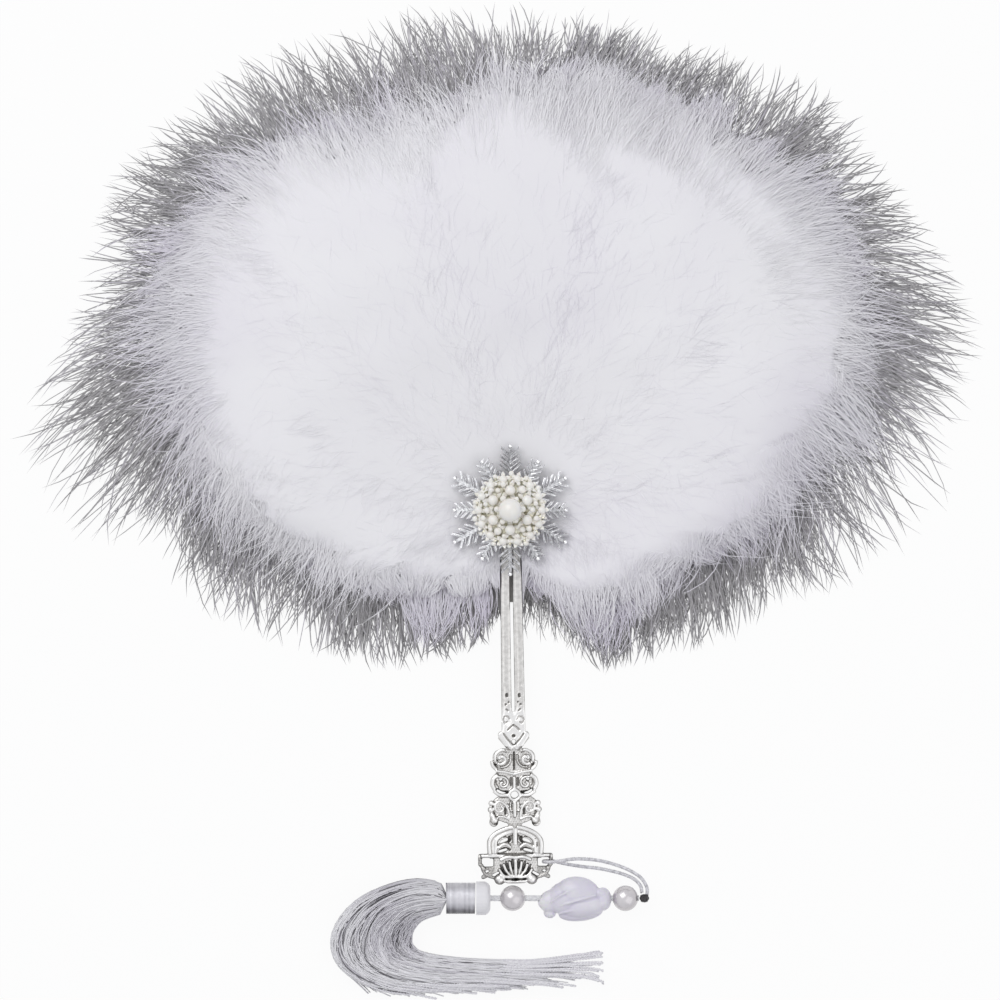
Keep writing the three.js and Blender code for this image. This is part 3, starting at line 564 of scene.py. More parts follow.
# root and tip thickness, rise between them and share of the reach are those of the solids
tierKit = {
    "rear": {
        "count": 13, "span": 325, "endSpread": 10, "slot": "rear_plume", "quillLevel": 1.3,
        "floor": 0, "root": 2.4, "tip": 1.4, "swell": 0, "share": 1,
        # the rear bed's grey is painted shade
        "bedStart": 16, "bedReach": (1.0, 0.12), "teeth": 0.04, "bedTone": (0.34, 0.5),
        "step": 0.16,  # each second bed lies this much over its neighbours
        "girth": (0.7, 1.0, 1.0, 0.95, 0.75),
    },
    "middle": {
        "count": 12, "span": 300, "endSpread": 24, "slot": "white_plume", "quillLevel": 5.2,
        "floor": 4.2, "root": 2.2, "tip": 1.5, "swell": 8, "share": 0.96,
        "bedStart": 16, "bedReach": (0.97, 0.0), "teeth": 0.04, "bedTone": (0.02, 0.24),
        "step": 0,
        "girth": (0.7, 1.0, 0.95, 0.8, 0.55),
    },
    "front": {
        "count": 9, "span": 288, "endSpread": 30, "slot": "white_plume", "quillLevel": 7.6,
        "floor": None, "root": 2.2, "tip": 1.5, "swell": 9, "share": 0.84,  # it lies on the middle tier
        "bedStart": 12.5, "bedReach": (0.97, 0.0), "teeth": 0.03, "bedTone": (0.0, 0.12),
        "step": 0,
        "girth": (0.7, 1.0, 0.95, 0.75, 0.45),
    },
}
bedKit = {
    "cuts": (40, 16),  # along the plume and across it
    "width": 1.2,  # share of the plume's width
    "thickness": 0.7,
    "sink": 0.6,  # depth under the top of its tier
    "lowest": (0.9, 1.0),  # least level of the top as reckoned, and as made
    "fall": (0.75, 0.3, 0.32),  # where it starts and the way it takes, as shares of the reach, and its depth
    "nest": (15, 9, 1.2),  # the white down rises round the boss: radius, width, rise
    "billow": 0.6,  # rise and fall of the white down
    "droop": 0.2,  # its sides lie this much lower than its middle
    "ragged": 0.02,  # share that its edge goes in and out, and how much more it does so below
    "raggedBelow": 1.5,
    "shadeFrom": (0.6, 0.4),  # share of the cloud's reach where its painted shade starts, way that it takes
}
# grey fringe: tufts of spikes, fine barbs between them, and hairs on the back; its grey is painted shade
fringeKit = {
    "tuftPitch": 3,  # length of rim that holds one tuft
    "tuftBarbs": 7,
    "tuftWidth": 150,  # degrees that its barbs spread over, times the rim's reach
    "tuftTurn": 13,  # degrees that a tuft strays, and that its barbs part
    "tuftFan": 5,
    "tuftReach": (1.08, 0.5, 1.5),  # share of the way to the rim: the most, how much less, power of the draw
    "tuftUneven": 0.1,
    "tuftBreadth": (0.42, 0.76),
    "gather": 0.6,  # how much closer a tuft is where it hangs
    "finePatch": 9,  # area of fringe that holds one fine barb
    "fineTurn": 11,
    "fineReach": (0.1, 0.76),
    "fineRoots": (0, 0.25),  # share of the fringe
    "fineBreadth": (0.3, 0.52),
    "roots": (0.86, 1.04),  # share of the cloud's reach
    "shortest": 10,
    "rootLevel": (1.2, 3.0),
    "tipLevel": (0.5, 4.0),
    "backCrowd": 22,  # hairs on the back to a degree
    "backRoots": (1.02, 0.84, 1.3),
    "backLength": (14, 26),
    "backUnder": (0.85, 0.95),  # depth of a hair's root and tip under the bed's top
    "backBreadth": 0.9,
    "hangBreadth": 0.5,  # how much broader and darker barbs are where they hang
    "hangTone": 0.1,
    "tones": ((0.42, 0.25), (0.5, 0.3)),  # grey as painted shade, at the root and at the tip: the least, and how much more
    "sway": 0.1,
    "arch": 0.8,
}
# pale and white down: counts are to a degree, and far is how near to the rim a lock gets
downKit = {
    "middle": {
        "crowd": 46, "roots": (0.82, 1.0), "far": (0.05, 0.62, 1.3), "pull": 0.55,
        "rootSink": (0.1, 1.0), "tipShare": (0.5, 0.9), "breadth": (0.28, 0.5),
        "hangShade": 1.4, "tones": ((0, 0.03, 0.02), (0.01, 0.15, 0.12)),
        "sway": 0.14, "arch": 0.5,
    },
    "front": {
        "crowd": 50, "roots": (0.98, 0.5, 1.7), "far": (0.05, 0.5, 1.3), "pull": 0.5,
        "rootSink": 0.15, "tipShare": (0.88, 1.05), "breadth": (0.26, 0.46), "lift": (0.25, 0.9),
        "hangShade": 1.6, "tones": (0.02, 0.05, 0.06),
        "sway": 0.14, "arch": 0.7,
        "hairs": 12, "hairRoots": (0.16, 0.88), "hairLength": (7, 16), "hairBreadth": (0.2, 0.32),
        "hairFlow": 0.4, "hairTurn": 30, "hairLift": 0.1, "hairTone": 0.12,
    },
}
rimTable = np.array(plumeKit["rim"], float)
hangTable = np.array(plumeKit["hang"], float)


def rimReach(bearing):
    return np.interp(bearing, rimTable[:, 0], rimTable[:, 1])


def cloudReach(bearing):
    return np.interp(bearing, rimTable[:, 0], rimTable[:, 2])


def pileTop(tierName, radius, bearing):  # level of a tier's top, as its solids have it
    tier = tierKit[tierName]
    reach = rimReach(bearing)
    root = plumeKit["rootRadius"]
    along = np.clip((radius - root) / (tier["share"] * reach - root), 0, 1)
    rise = np.sin(np.pi * along ** plumeKit["swellBend"]) * tier["swell"] * reach / plumeKit["crownReach"]
    floor = tier["floor"] if tierName != "front" else pileTop("middle", radius, bearing) + plumeKit["pileGap"]
    return floor + tier["root"] + (tier["tip"] - tier["root"]) * along + rise


def billow(radius, bearing):  # soft unevenness of the white down
    x, y = np.moveaxis(polar(bearing, radius), -1, 0)
    waves = np.sin(0.14 * x + 1.8 * np.sin(0.06 * y + 0.8)) * np.sin(0.115 * y + 0.06 * x)
    return bedKit["billow"] * waves


def bedTop(tierName, radius, bearing):  # the bed falls away near the cloud's edge
    start, way, depth = bedKit["fall"]
    falling = np.clip((radius / cloudReach(bearing) - start) / way, 0, 1)
    uneven = 0
    if tierName == "front":
        middle, width, rise = bedKit["nest"]
        nest = np.exp(-((radius - middle) / width) ** 2)
        uneven = rise * nest + billow(radius, bearing) * (1 - nest)
    top = pileTop(tierName, radius, bearing) * (1 - depth * falling ** 2) - bedKit["sink"] + uneven
    return np.maximum(top, bedKit["lowest"][0])


def barbPattern():  # one barb, modelled once: a flat three-sided spike cut into stations
    bpy.ops.mesh.primitive_cone_add(vertices=3, radius1=0.5, radius2=0, depth=1, location=(0, 0, 0.5))
    barb = bpy.context.object
    settle(barb)
    bpy.ops.object.mode_set(mode="EDIT")
    for cut in plumeKit["rings"][1:]:
        bpy.ops.mesh.select_all(action="SELECT")
        bpy.ops.mesh.bisect(plane_co=(0, 0, cut), plane_no=(0, 0, 1))
    bpy.ops.object.mode_set(mode="OBJECT")
    points = np.array([vertex.co for vertex in barb.data.vertices])
    faces = [list(face.vertices) for face in barb.data.polygons]
    bpy.data.objects.remove(barb)
    taper = np.maximum(1 - points[:, 2], 1e-6)
    section = np.where(points[:, 2:] > 0.999, 0, points[:, :2] / taper[:, None])
    return section, points[:, 2], faces


barbSection, barbAlong, barbFaces = barbPattern()


def curveAt(controls, share):  # cubic with four control points per barb
    a, b, c, d = (controls[:, index, None, :] for index in range(4))
    t = share[None, :, None]
    return a * (1 - t) ** 3 + 3 * b * t * (1 - t) ** 2 + 3 * c * t ** 2 * (1 - t) + d * t ** 3


def growBarbs(controls, breadth, roll, girth):  # the spike's ridge is turned up
    stations, index = np.unique(np.round(barbAlong, 4), return_inverse=True)
    spots = curveAt(controls, stations)
    step = 0.02  # a barb's direction is taken over this share of it on each side
    after, before = np.minimum(stations + step, 1), np.maximum(stations - step, 0)
    ahead = curveAt(controls, after) - curveAt(controls, before)
    ahead /= np.linalg.norm(ahead, axis=2, keepdims=True)
    side = np.cross(np.array([0.0, 0, 1]), ahead)
    side /= np.linalg.norm(side, axis=2, keepdims=True) + 1e-9
    above = np.cross(ahead, side)
    turnedSide = side * np.cos(roll)[:, None, None] + above * np.sin(roll)[:, None, None]
    turnedUp = above * np.cos(roll)[:, None, None] - side * np.sin(roll)[:, None, None]
    width = np.interp(barbAlong, (*plumeKit["rings"], 1), (*girth, 0))
    across = -barbSection[:, 1] * width
    deep = barbSection[:, 0] * width * plumeKit["flat"]
    points = (spots[:, index]
              + turnedSide[:, index] * (across * breadth[:, None])[:, :, None]
              + turnedUp[:, index] * (deep * breadth[:, None])[:, :, None])
    points[:, :, 2] = np.maximum(points[:, :, 2], plumeKit["lowestBarb"])
    return points


def barbMesh(points):  # copies of the pattern as one list of points and faces
    number, each = points.shape[:2]
    faces = []
    for start in range(0, number * each, each):
        faces.extend([[start + corner for corner in face] for face in barbFaces])
    return points.reshape(-1, 3), faces


def polar(bearing, radius):
    angle = np.radians(bearing)
    return np.stack([hub[0] + radius * np.cos(angle), hub[1] + radius * np.sin(angle)], axis=-1)


def bearingOf(spots):  # bearing and distance from the hub
    right, up = spots[:, 0] - hub[0], spots[:, 1] - hub[1]
    bearing = np.degrees(np.arctan2(up, right))
    return np.where(bearing < bearingSeam, bearing + 360, bearing), np.hypot(right, up)


def clearOfStem(spots, side):  # what would lie over the stem moves beside it
    down = hub[1] - spots[..., 1]
    middle = hub[0] + down * math.tan(handleLean)
    above = spots[..., 2] > plumeKit["slotTop"]
    clear = np.where(above, plumeKit["stemHalf"], plumeKit["slotHalf"])
    beside = np.maximum((spots[..., 0] - middle) * side, clear)
    spots[..., 0] = np.where(down > plumeKit["stemFrom"], middle + side * beside, spots[..., 0])
    return spots


def leanOf(bearing):  # degrees that barbs turn away from the middle of their lobe
    middles = np.array(plumeKit["lobes"], float)
    after = np.clip(np.searchsorted(middles, bearing), 1, len(middles) - 1)
    share = (bearing - middles[after - 1]) / (middles[after] - middles[after - 1])
    return plumeKit["lobeLean"] * np.sin(2 * np.pi * share)


def flowOf(bearing):  # the way barbs point: outwards at the top, hanging at the sides and below
    right = bearing < 90
    below = np.where(right, -bearing, bearing - 180)
    turned = np.interp(below, hangTable[:, 0], hangTable[:, 1])
    return np.where(right, -turned, 180 + turned)


def heading(angle):
    return np.stack([np.cos(np.radians(angle)), np.sin(np.radians(angle))], axis=-1)


def wayOut(roots, ways, reachAt):  # how far along its way each root passes a reach
    step, farthest = 3, 120
    gone = np.zeros(len(roots))
    inside = np.ones(len(roots), bool)
    for _ in range(farthest // step):
        bearing, radius = bearingOf(roots + ways * (gone + step)[:, None])
        inside &= radius < reachAt(bearing)
        gone += step * inside
    return gone


def hanging(bearing):  # 0 at the sides and above, 1 straight below the hub
    return np.clip(-np.sin(np.radians(bearing)), 0, 1)


def crowd(low, high):  # degrees of the plume, fewer where its edge is close to the hub
    share = np.clip(cloudReach((low + high) / 2) / plumeKit["fullCrowd"], plumeKit["leastCrowd"], 1)
    return (high - low) * share


def makeLocks(rng, low, high):  # bearing and turn of each lock, how far out it reaches and how grey it is
    arc = math.radians(high - low) * cloudReach((low + high) / 2)
    number = max(3, round(arc / plumeKit["lockWidth"]))
    bearing, turn = rng.uniform(low, high, number), rng.normal(0, plumeKit["lockTurn"], number)
    return bearing, turn, rng.random(number), rng.random(number)


# tips drawn to the line of the nearest lock, and how grey that lock is
def drawTips(rng, locks, bearing, roots, far, pull):
    lockBearing, lockTurn, lockReach, lockShade = locks
    pick = np.abs(bearing[:, None] - lockBearing).argmin(axis=1)
    ways = heading(flowOf(bearing) + leanOf(bearing) + rng.normal(0, plumeKit["stray"], len(bearing)))
    edge, rim = wayOut(roots, ways, cloudReach), wayOut(roots, ways, rimReach)
    near, most, power = far
    low = np.clip(plumeKit["lowFrom"] - np.sin(np.radians(bearing)), 0, 1)
    most = most * (1 + plumeKit["lowReach"] * low)
    length = edge + (rim - edge) * (near + most * lockReach[pick]) * rng.random(len(bearing)) ** power
    length = np.maximum(length, plumeKit["shortest"])
    base = polar(lockBearing, plumeKit["lockBase"] * cloudReach(lockBearing))[pick]
    axis = heading(flowOf(lockBearing) + leanOf(lockBearing) + lockTurn)[pick]
    along = ((roots - base) * axis).sum(axis=1) + length
    tips = roots + ways * length[:, None]
    return tips + pull * (base + axis * along[:, None] - tips), lockShade[pick]


# each barb bows to one side and a little upwards
def bendControls(rng, roots, rootLevel, tips, tipLevel, sway, arch):
    start, end = np.column_stack([roots, rootLevel]), np.column_stack([tips, tipLevel])
    run = end - start
    across = np.stack([-run[:, 1], run[:, 0]], axis=1) * rng.normal(0, sway, (len(run), 1))
    near, far = plumeKit["bends"]
    controls = np.stack([start, start + near * run, start + far * run, end], axis=1)
    controls[:, 1:3, :2] += across[:, None]
    controls[:, 1:3, 2] += arch * rng.uniform(*plumeKit["archSpread"], (len(run), 2))
    return controls


def rearBarbs(rng, low, high):
    kit = fringeKit
    middle = (low + high) / 2
    fringe = rimReach(middle) - cloudReach(middle)
    arc = math.radians(high - low) * rimReach(middle)
    tufts, fine = round(arc / kit["tuftPitch"]), round(arc * fringe / kit["finePatch"])
    back = round(kit["backCrowd"] * crowd(low, high))
    pick = np.repeat(np.arange(tufts), kit["tuftBarbs"])
    number = len(pick) + fine + back
    kind = np.repeat([0, 1, 2], [len(pick), fine, back])
    tufted, single, onBack = kind == 0, kind == 1, kind == 2
    spread = rng.normal(0, 1, len(pick))
    bearing = rng.uniform(low, high, number)
    tuftBearing = rng.uniform(low, high, tufts)[pick]
    gather = 1 - kit["gather"] * hanging(tuftBearing)
    bearing[tufted] = tuftBearing + kit["tuftWidth"] * gather * spread / rimReach(middle)
    turn = rng.normal(0, kit["fineTurn"], number)
    turn[tufted] = rng.normal(0, kit["tuftTurn"], tufts)[pick] + kit["tuftFan"] * gather * spread
    share = rng.uniform(*kit["fineReach"], number)
    most, less, power = kit["tuftReach"]
    share[tufted] = (most - less * rng.random(tufts) ** power)[pick]
    share[tufted] -= np.abs(rng.normal(0, kit["tuftUneven"], len(pick)))
    cloud = cloudReach(bearing)
    rootReach = cloud * rng.uniform(*kit["roots"], number)
    rootReach += (rimReach(bearing) - cloud) * rng.uniform(*kit["fineRoots"], number) * single
    most, less, power = kit["backRoots"]
    rootReach = np.where(onBack, cloud * (most - less * rng.random(number) ** power), rootReach)
    roots = polar(bearing, rootReach)
    ways = heading(flowOf(bearing) + leanOf(bearing) + turn)
    edge, rim = wayOut(roots, ways, cloudReach), wayOut(roots, ways, rimReach)
    length = np.where(onBack, rng.uniform(*kit["backLength"], number), edge + (rim - edge) * share)
    tips = roots + ways * np.maximum(length, kit["shortest"])[:, None]
    tipBearing, tipReach = bearingOf(tips)
    rootUnder, tipUnder = kit["backUnder"]
    beneath = np.maximum(bedTop("rear", rootReach, bearing) - rootUnder, plumeKit["lowestBarb"])
    tipBeneath = np.maximum(bedTop("rear", tipReach, tipBearing) - tipUnder, plumeKit["lowestBarb"])
    rootLevel = np.where(onBack, beneath, rng.uniform(*kit["rootLevel"], number))
    tipLevel = np.where(onBack, tipBeneath, rng.uniform(*kit["tipLevel"], number))
    broad, narrow = [rng.uniform(*kit[name], number) for name in ("tuftBreadth", "fineBreadth")]
    breadth = np.where(tufted, broad, narrow)
    broader = 1 + kit["hangBreadth"] * hanging(bearing)
    breadth = np.where(onBack, kit["backBreadth"] * breadth, breadth * broader)
    darker = kit["hangTone"] * hanging(bearing)
    # the grey tones are painted shade, deeper where the barbs hang
    tone = [least + more * rng.random(number) + darker for least, more in kit["tones"]]
    arch = np.where(onBack, 0, kit["arch"])[:, None]
    return bendControls(rng, roots, rootLevel, tips, tipLevel, kit["sway"], arch), breadth, tone


def middleBarbs(rng, low, high):  # pale lavender barbs that reach out over the grey ones
    kit = downKit["middle"]
    number = round(kit["crowd"] * crowd(low, high))
    bearing = rng.uniform(low, high, number)
    rootReach = cloudReach(bearing) * rng.uniform(*kit["roots"], number)
    roots = polar(bearing, rootReach)
    tips, shade = drawTips(rng, makeLocks(rng, low, high), bearing, roots, kit["far"], kit["pull"])
    tipBearing, tipReach = bearingOf(tips)
    rootLevel = bedTop("middle", rootReach, bearing) - rng.uniform(*kit["rootSink"], number)
    tipLevel = pileTop("middle", tipReach, tipBearing) * rng.uniform(*kit["tipShare"], number)
    breadth = rng.uniform(*kit["breadth"], number)
    shade = shade + kit["hangShade"] * hanging(bearing)
    tone = [least + more * rng.random(number) + grey * shade for least, more, grey in kit["tones"]]
    return bendControls(rng, roots, rootLevel, tips, tipLevel, kit["sway"], kit["arch"]), breadth, tone


def frontBarbs(rng, low, high):  # white down that hides the bed's edge, with finer hairs further in
    kit = downKit["front"]
    edgeNumber, hairNumber = round(kit["crowd"] * crowd(low, high)), round(kit["hairs"] * crowd(low, high))
    number = edgeNumber + hairNumber
    hair = np.arange(number) >= edgeNumber
    bearing = rng.uniform(low, high, number)
    most, less, power = kit["roots"]
    share = np.where(hair, rng.uniform(*kit["hairRoots"], number), most - less * rng.random(number) ** power)
    rootReach = cloudReach(bearing) * share
    roots = polar(bearing, rootReach)
    tips, shade = drawTips(rng, makeLocks(rng, low, high), bearing, roots, kit["far"], kit["pull"])
    loose = bearing + kit["hairFlow"] * (flowOf(bearing) - bearing) + rng.normal(0, kit["hairTurn"], number)
    short = rng.uniform(*kit["hairLength"], number)[:, None] * heading(loose)
    tips = np.where(hair[:, None], roots + short, tips)
    tipBearing, tipReach = bearingOf(tips)
    over = bedTop("front", tipReach, tipBearing)
    tipLevel = np.where(hair, over + kit["hairLift"], over * rng.uniform(*kit["tipShare"], number))
    rootLevel = bedTop("front", rootReach, bearing) - kit["rootSink"]
    narrow, broad = [rng.uniform(*kit[name], number) for name in ("hairBreadth", "breadth")]
    breadth = np.where(hair, narrow, broad)
    shade = shade + kit["hangShade"] * hanging(bearing)
    atRoot, atTip, grey = kit["tones"]
    rootTone = atRoot * rng.random(number)
    tipTone = np.where(hair, kit["hairTone"], atTip + grey * shade) * rng.random(number)
    controls = bendControls(rng, roots, rootLevel, tips, tipLevel, kit["sway"], kit["arch"])
    lift = rng.uniform(*kit["lift"], number)
    for slot in (1, 2):  # the fine hairs keep to the bed, and the others pass over its edge
        spotBearing, radius = bearingOf(controls[:, slot])
        onBed = bedTop("front", radius, spotBearing)
        passing = np.where(radius < cloudReach(spotBearing), onBed + lift, 0)
        level = np.maximum(controls[:, slot, 2], passing)
        controls[:, slot, 2] = np.where(hair, onBed + kit["hairLift"], level)
    return controls, breadth, (rootTone, tipTone)


def plumeBed(tierName, low, high, side, raised):  # soft under-down: a grid shaped to the plume's sector
    tier = tierKit[tierName]
    cutsAlong, cutsAcross = bedKit["cuts"]
    bpy.ops.mesh.primitive_grid_add(x_subdivisions=cutsAlong, y_subdivisions=cutsAcross, size=2)
    bed = bpy.context.object
    coords = np.array([vertex.co for vertex in bed.data.vertices])
    along = (coords[:, 0] + 1) / 2
    across = coords[:, 1]
    swung = (low + high) / 2 + across * (high - low) / 2 * bedKit["width"]
    swung = np.clip(swung, *plumeKit["lowest"])
    start = tier["bedStart"]
    ofCloud, ofFringe = tier["bedReach"]
    tooth = np.cos(np.pi * np.round(cutsAcross / 2 * (across + 1)))  # the edge goes in and out at each step
    fringe = rimReach(swung) - cloudReach(swung)
    end = cloudReach(swung) * ofCloud + fringe * (ofFringe + tier["teeth"] * tooth)
    uneven = bedKit["ragged"] * (1 + bedKit["raggedBelow"] * hanging(swung))
    ragged = 1 + uneven * (np.sin(swung * 0.9) + np.sin(swung * 0.41 + 1))
    radius = start + (end * ragged - start) * along
    height = bedTop(tierName, radius, swung) - bedKit["droop"] * across ** 2 * np.clip(3 * along, 0, 1)
    spots = np.column_stack([polar(swung, radius), np.maximum(height, bedKit["lowest"][1]) + raised])
    placeSpots(bed, clearOfStem(spots, side))
    modify(bed, "SOLIDIFY", thickness=bedKit["thickness"] * mm, offset=-1)
    applyAll(bed)
    smooth(bed)
    # painted shade: the bed greys towards the cloud's edge
    bearing, radius = bearingOf(spotsOf(bed))
    shadeFrom, way = bedKit["shadeFrom"]
    dark = np.clip((radius / cloudReach(bearing) - shadeFrom) / way, 0, 1) ** 2
    inside, outside = tier["bedTone"]
    setAttribute(bed, "tone", inside + (outside - inside) * dark)
    return bed


def plumeQuill(bearing, length, level):
    thick, thin = metres(plumeKit["quillRadii"])
    bpy.ops.mesh.primitive_cone_add(vertices=8, radius1=thick, radius2=thin, depth=length * mm)
    quill = bpy.context.object
    middle = polar(bearing, plumeKit["rootRadius"] + length / 2)
    quill.rotation_euler = (math.pi / 2, 0, math.radians(bearing + 90))
    quill.location = metres((*middle, level))
    settle(quill)
    smooth(quill)
    setAttribute(quill, "tone", np.full(len(quill.data.vertices), plumeKit["quillTone"]))
    return quill


plumePaint = Paint("plumePaint")
tone = plumePaint.attribute("tone")
speck = plumePaint.noise(1100, 3)
drift = plumePaint.noise(16, 2)
# the ramp's greys are painted shade of the fringe
plumeColour = plumePaint.ramp(
    tone + (speck - 0.5) * (tone * 0.4) + (drift - 0.5) * 0.26,
    (0.0, 250, 249, 252),
    (0.3, 229, 224, 237),
    (0.6, 180, 178, 180),
    (1.0, 118, 117, 116),
)
plumePaint.finish({"Base Color": plumeColour, "Roughness": 0.8, "Sheen Weight": 0.25, "Sheen Roughness": 0.6})


def makePlume(tierName, index, rng):
    tier = tierKit[tierName]
    half = tier["span"] / tier["count"] / 2
    bearing = 90 - tier["span"] / 2 + half * (2 * index + 1)
    side = 1 if bearing < 90 else -1
    least, most = plumeKit["lowest"]
    low, high = bearing - plumeKit["overlap"] * half, bearing + plumeKit["overlap"] * half
    if index == 0:
        low = max(low - tier["endSpread"], least)
    if index == tier["count"] - 1:
        high = min(high + tier["endSpread"], most)
    grow = {"rear": rearBarbs, "middle": middleBarbs, "front": frontBarbs}[tierName]
    spread = plumeKit["crossing"] * (high - low)
    controls, breadth, (rootTone, tipTone) = grow(rng, max(low - spread, least), min(high + spread, most))
    controls = clearOfStem(controls, side)
    points = growBarbs(controls, breadth, rng.normal(0, plumeKit["roll"], len(breadth)), tier["girth"])
    spots, faces = barbMesh(points)
    barbs = meshObject("barbs", spots * mm, faces)
    tones = rootTone[:, None] + (tipTone - rootTone)[:, None] * barbAlong[None, :]
    setAttribute(barbs, "tone", tones.ravel())
    quill = plumeQuill(bearing, plumeKit["quillShare"] * cloudReach(bearing), tier["quillLevel"])
    bed = plumeBed(tierName, low, high, side, tier["step"] * (index % 2))
    plume = joinAs(f"{tierName}Plume{index + 1:02d}", [barbs, quill, bed])
    return dress(plume, plumePaint, "fan", tier["slot"], f"{tierName}_plume_{index + 1}")


def makePlumes():
    rng = np.random.default_rng(plumeKit["seed"])
    for tierName, tier in tierKit.items():
        for index in range(tier["count"]):
            makePlume(tierName, index, rng)
        print("plumes of the", tierName, "tier grown")


makePlumes()
